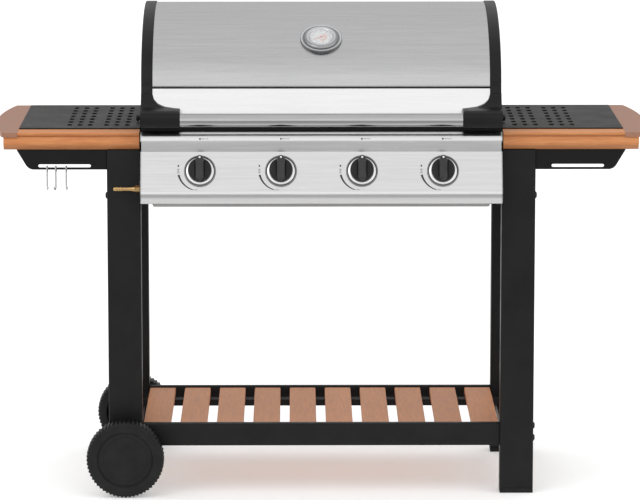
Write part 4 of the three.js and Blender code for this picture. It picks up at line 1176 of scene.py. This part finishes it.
def handle_bracket(sign):
    """The block that holds the handle: its front and side outlines crossed, with room for the lid's face."""
    inner, outer = LID["half"] + 0.3, LID["cap"]
    low, high = HANDLE["z"] - HANDLE["radius"] - 1, HANDLE["z"] + HANDLE["radius"] + 6
    reach = HANDLE["depth"] - HANDLE["radius"] - 2
    front = [(292, low), (outer, low), (outer, 836), (inner, 836), (inner - 3, 824), (inner - 12, 815),
             (inner - 26, 809), (HANDLE["half"] + 12, high), (292, high - 1)]
    front = [(sign * a, b) for a, b in fillet(front, [2, 1, 1, 3, 12, 16, 16, 8, 2], 5, closed=True)]
    flank = [(12, low), (reach + 8, low), (reach, low + 8), (reach, high - 12), (reach + 5, high - 4),
             (reach + 14, high), (-20, high + 3), (-8, high + 12), (-2, 826), (0, 836), (12, 836)]
    flank = fillet(flank, [0, 10, 10, 8, 8, 10, 12, 12, 12, 3, 0], 5, closed=True)
    across = prism(flank, "x", *sided(sign, 286, outer + 1))
    block = combined(prism(front, "y", reach - 5, 20), across, "INTERSECT")
    cavity = prism([(-3.5, 700), (40, 700), (40, 850), (9.5, 850)], "x", *sided(sign, 200, inner))
    return combined(block, cavity, "DIFFERENCE")


def lid_ends():
    inner, outer = LID["half"] + 0.3, LID["cap"]
    hinge = (HINGE["depth"], HINGE["z"])
    pin = [(0, 0), (2.8, 0), (3, 0.4), (3, 25.3), (5.4, 25.3), (6, 25.8), (6, 27.2), (5.2, 28), (0, 28)]
    for side, sign in SIDES.items():
        make(f"lid_end_cap_{side}_shell", [cap_shell(sign)], "lid", "cap_black", slot="black_steel",
             replaces=[f"lid_end_cap_{side}"], angle=30)
        make(f"handle_bracket_{side}", [handle_bracket(sign)], "lid", "cap_black", slot="black_steel",
             bevel=1.6, angle=40)
        lug = [*arc(hinge, HINGE["lug"], 180, 360, 20), (457, 795), (443, 795)]
        lug = perforated(lug, [circle(hinge, 3.3, 24)], "x", *sided(sign, inner + 1, outer - 0.2), 0.5)
        make(f"hinge_lug_{side}", [lug], "lid", "cap_black", slot="black_steel")
        place = placed(works(sign * 354, *hinge), FACING[outward(sign)])
        make(f"hinge_pin_{side}_fine", [lathe(pin, place, 28)], "cart", "wire_steel",
             replaces=[f"hinge_pin_{side}"])
    half, radius = HANDLE["half"], HANDLE["radius"]
    handle = rod("x", -half, half, HANDLE["depth"], HANDLE["z"], radius, works, 96)
    make("lid_handle_tube", [handle], "lid", "handle_steel", slot="chrome", replaces=["lid_handle"])


# The thermometer's turned parts, as (radius, height above the lid).
GAUGE_FLANGE = [(0, -45), (3.6, -45), (4, -44), (4, -4), (42.4, -4), (42.4, 4.4), (41.6, 4.7), (40.0, 4.6),
                (38.7, 3.8), (38.5, 2.6), (0, 2.6)]
GAUGE_EDGE = [(42.4, -4), (43.5, -4), (43.5, 2.8), (43.3, 3.8), (42.8, 4.3), (42.4, 4.4), (42.4, -4)]
GAUGE_GROOVE = [(36.2, 2.6), (38.5, 2.6), (38.5, 3.0), (36.2, 3.3), (36.2, 2.6)]
GAUGE_DRUM = [(24, 2.7), (36.2, 2.7), (36.2, 3.6), (35.6, 5.2), (34.4, 6.8), (32.6, 8.2), (30.6, 9.0),
              (30.2, 9.0), (24, 2.7)]
GAUGE_RING = [(23.6, 5.2), (30.2, 9.0), (29.0, 9.4), (27.4, 9.1), (25.4, 8.1), (24.1, 6.8), (23.6, 5.2)]
GAUGE_DIAL = [(0, 5.4), (23.4, 5.4), (23.4, 6), (0, 6)]
GAUGE_LENS = [(0, 7.4), (24.2, 7.4), (24.4, 7.9), (20, 9.0), (14, 9.8), (7, 10.2), (0, 10.3)]
GAUGE_HUB = [(0, 6.2), (2.6, 6.2), (2.6, 6.9), (2.0, 7.2), (0, 7.2)]


def thermometer():
    spot = on_lid()
    make("thermometer_case_flange", [lathe(GAUGE_FLANGE, spot)], "lid", "chrome",
         replaces=["thermometer_case"], angle=45)
    # The edge and groove are chrome painted dark, and the drum chrome painted grey: painted shade and
    # reflection on one chrome case.
    make("thermometer_case_edge", [lathe(GAUGE_EDGE, spot), lathe(GAUGE_GROOVE, spot)], "lid", "dark_chrome",
         slot="chrome", angle=45)
    make("thermometer_case_drum", [lathe(GAUGE_DRUM, spot)], "lid", "grey_chrome", slot="chrome", angle=45)
    make("thermometer_case_ring", [lathe(GAUGE_RING, spot)], "lid", "chrome", angle=45)
    make("thermometer_dial", [lathe(GAUGE_DIAL, spot, 64)], "lid", "dial_face", slot="stainless")
    make("thermometer_lens", [lathe(GAUGE_LENS, spot, 64)], "lid", "clear_glass", slot="chrome")
    marks = []
    for i in range(25):
        long_tick = i % 4 == 0
        half = 0.55 if long_tick else 0.3
        tick = rectangle((-half, half), (16.6 if long_tick else 18.4, 21))
        turn = spot @ Matrix.Rotation(math.radians(120 - 10 * i), 4, "Z")
        marks.append(raised(tick, turn, 5.9, 6.15))
    zone = [*arc((0, 0), 12.5, 60, -100, 30), *arc((0, 0), 7.5, -100, 60, 30)]
    make("thermometer_scale", marks, "lid", "mark_grey", slot="black_plastic")
    make("thermometer_zone", [raised(zone, spot, 5.9, 6.12)], "lid", "zone_red", slot="needle_red")
    turn = spot @ Matrix.Rotation(math.radians(120), 4, "Z")
    outline = [(-1.6, -6), (1.6, -6), (1.2, -3), (0.9, 0), (0.45, 16), (-0.45, 16), (-0.9, 0), (-1.2, -3)]
    pointer = [raised(outline, turn, 6.4, 6.8), lathe(GAUGE_HUB, spot, 28)]
    make("thermometer_pointer", pointer, "needle", "needle_red", replaces=["thermometer_needle"])


# ---------------------------------------------------------------- whole grill
posts()
lower_frame()
slat_rack()
wheels()
for side_name, side_sign in SIDES.items():
    side_shelf(side_name, side_sign)
hooks()
control_panel()
panel_marks()
knobs()
gas_line()
firebox()
burners()
flame_tamer()
grates()
warming_rack()
grease_tray()
lid_skin()
lid_ends()
thermometer()


# ---------------------------------------------------------------- floor, light and camera
# Painted shade on the floor against Y, in metres: full brightness at the object and darker in front of it.
FLOOR_FALL = {"From Min": -0.25, "From Max": -1.5, "To Min": 1.0, "To Max": 0.46}


def floor():
    """A pale floor that is brightest round the object and painted darker towards the front; it also glows, a
    painted light that lifts the shadows round the object.
    """
    look = Look("pale_floor", 0.8, 0.0, specular_ior_level=0.1, emission_strength=0.3)
    haze = look.noise(0.9, detail=3)
    pale = look.ramp(haze, [(0.3, (0.94, 0.94, 0.94)), (0.7, (0.96, 0.96, 0.96))])
    split = look.node("ShaderNodeSeparateXYZ")
    look.link(look.coords, split.inputs[0])
    fall = look.node("ShaderNodeMapRange", interpolation_type="SMOOTHSTEP")
    for socket, value in FLOOR_FALL.items():
        fall.inputs[socket].default_value = value
    look.link(split.outputs["Y"], fall.inputs["Value"])
    shaded = look.mixed(pale, fall.outputs["Result"], 1.0, "MULTIPLY")
    look.color(shaded)
    # Painted light: the floor's colour also drives its glow.
    look.link(shaded, look.shader.inputs["Emission Color"])
    mesh = bpy.data.meshes.new("floor")
    corners = [(x, y, -0.0005) for x, y in rectangle((-30, 30), (-30, 60))]
    mesh.from_pydata(corners, [], [(0, 1, 2, 3)])
    mesh.materials.append(look.material)
    ground_plane = linked("floor", mesh)


# Light from each elevation, as (sine of the elevation, value), in front of the object and behind it.
SKY_FRONT = [(0.0, 1.05), (0.08, 1.42), (0.28, 1.34), (0.55, 1.15), (1.0, 1.02)]
SKY_BACK = [(0.0, 0.55), (0.17, 0.68), (0.5, 0.84), (0.85, 0.99), (1.0, 1.03)]


def sky():
    """Light from all round, brighter from in front of the object than from behind it."""
    world = bpy.data.worlds.new("studio")
    bpy.context.scene.world = world
    world.use_nodes = True
    tree = world.node_tree
    background = next(n for n in tree.nodes if n.type == "BACKGROUND")
    coords, split = tree.nodes.new("ShaderNodeTexCoord"), tree.nodes.new("ShaderNodeSeparateXYZ")
    tree.links.new(coords.outputs["Generated"], split.inputs[0])
    halves = []
    for stops in (SKY_FRONT, SKY_BACK):
        curve = tree.nodes.new("ShaderNodeValToRGB")
        while len(curve.color_ramp.elements) < len(stops):
            curve.color_ramp.elements.new(0.5)
        for element, (place, value) in zip(curve.color_ramp.elements, stops):
            element.position, element.color = place, (value, value, value, 1)
        tree.links.new(split.outputs["Z"], curve.inputs["Fac"])
        halves.append(curve.outputs["Color"])
    facing = tree.nodes.new("ShaderNodeMapRange")
    facing.interpolation_type = "SMOOTHSTEP"
    facing.inputs["From Min"].default_value, facing.inputs["From Max"].default_value = -0.35, 0.35
    tree.links.new(split.outputs["Y"], facing.inputs["Value"])
    mix = tree.nodes.new("ShaderNodeMix")
    mix.data_type = "RGBA"
    tree.links.new(facing.outputs["Result"], mix.inputs[0])
    tree.links.new(halves[0], mix.inputs[6])
    tree.links.new(halves[1], mix.inputs[7])
    tree.links.new(mix.outputs[2], background.inputs["Color"])


def key_light():
    """A large soft light from the front left."""
    place, target = Vector((-2.6, -3.6, 3.6)), Vector((0, 0, 0.7))
    light = bpy.data.lights.new("key", "AREA")
    light.shape, light.size, light.size_y, light.energy = "RECTANGLE", 2.4, 1.8, 14
    holder = linked("key", light)
    holder.location = place
    holder.rotation_euler = (target - place).to_track_quat("-Z", "Y").to_euler()


def camera():
    """A long lens in front of the grill and above it, looking slightly down."""
    lens = bpy.data.cameras.new("camera")
    lens.sensor_width, lens.lens, lens.clip_end = 36, 217.59, 200
    eye = linked("camera", lens)
    eye.location = (-0.05478, -8.13856, 1.83903)
    eye.rotation_euler = (math.pi / 2 - 0.16481, 0, -0.006554)
    bpy.context.scene.camera = eye


floor()
sky()
key_light()
camera()
bpy.context.scene.view_settings.view_transform = "Standard"

bpy.context.view_layer.update()
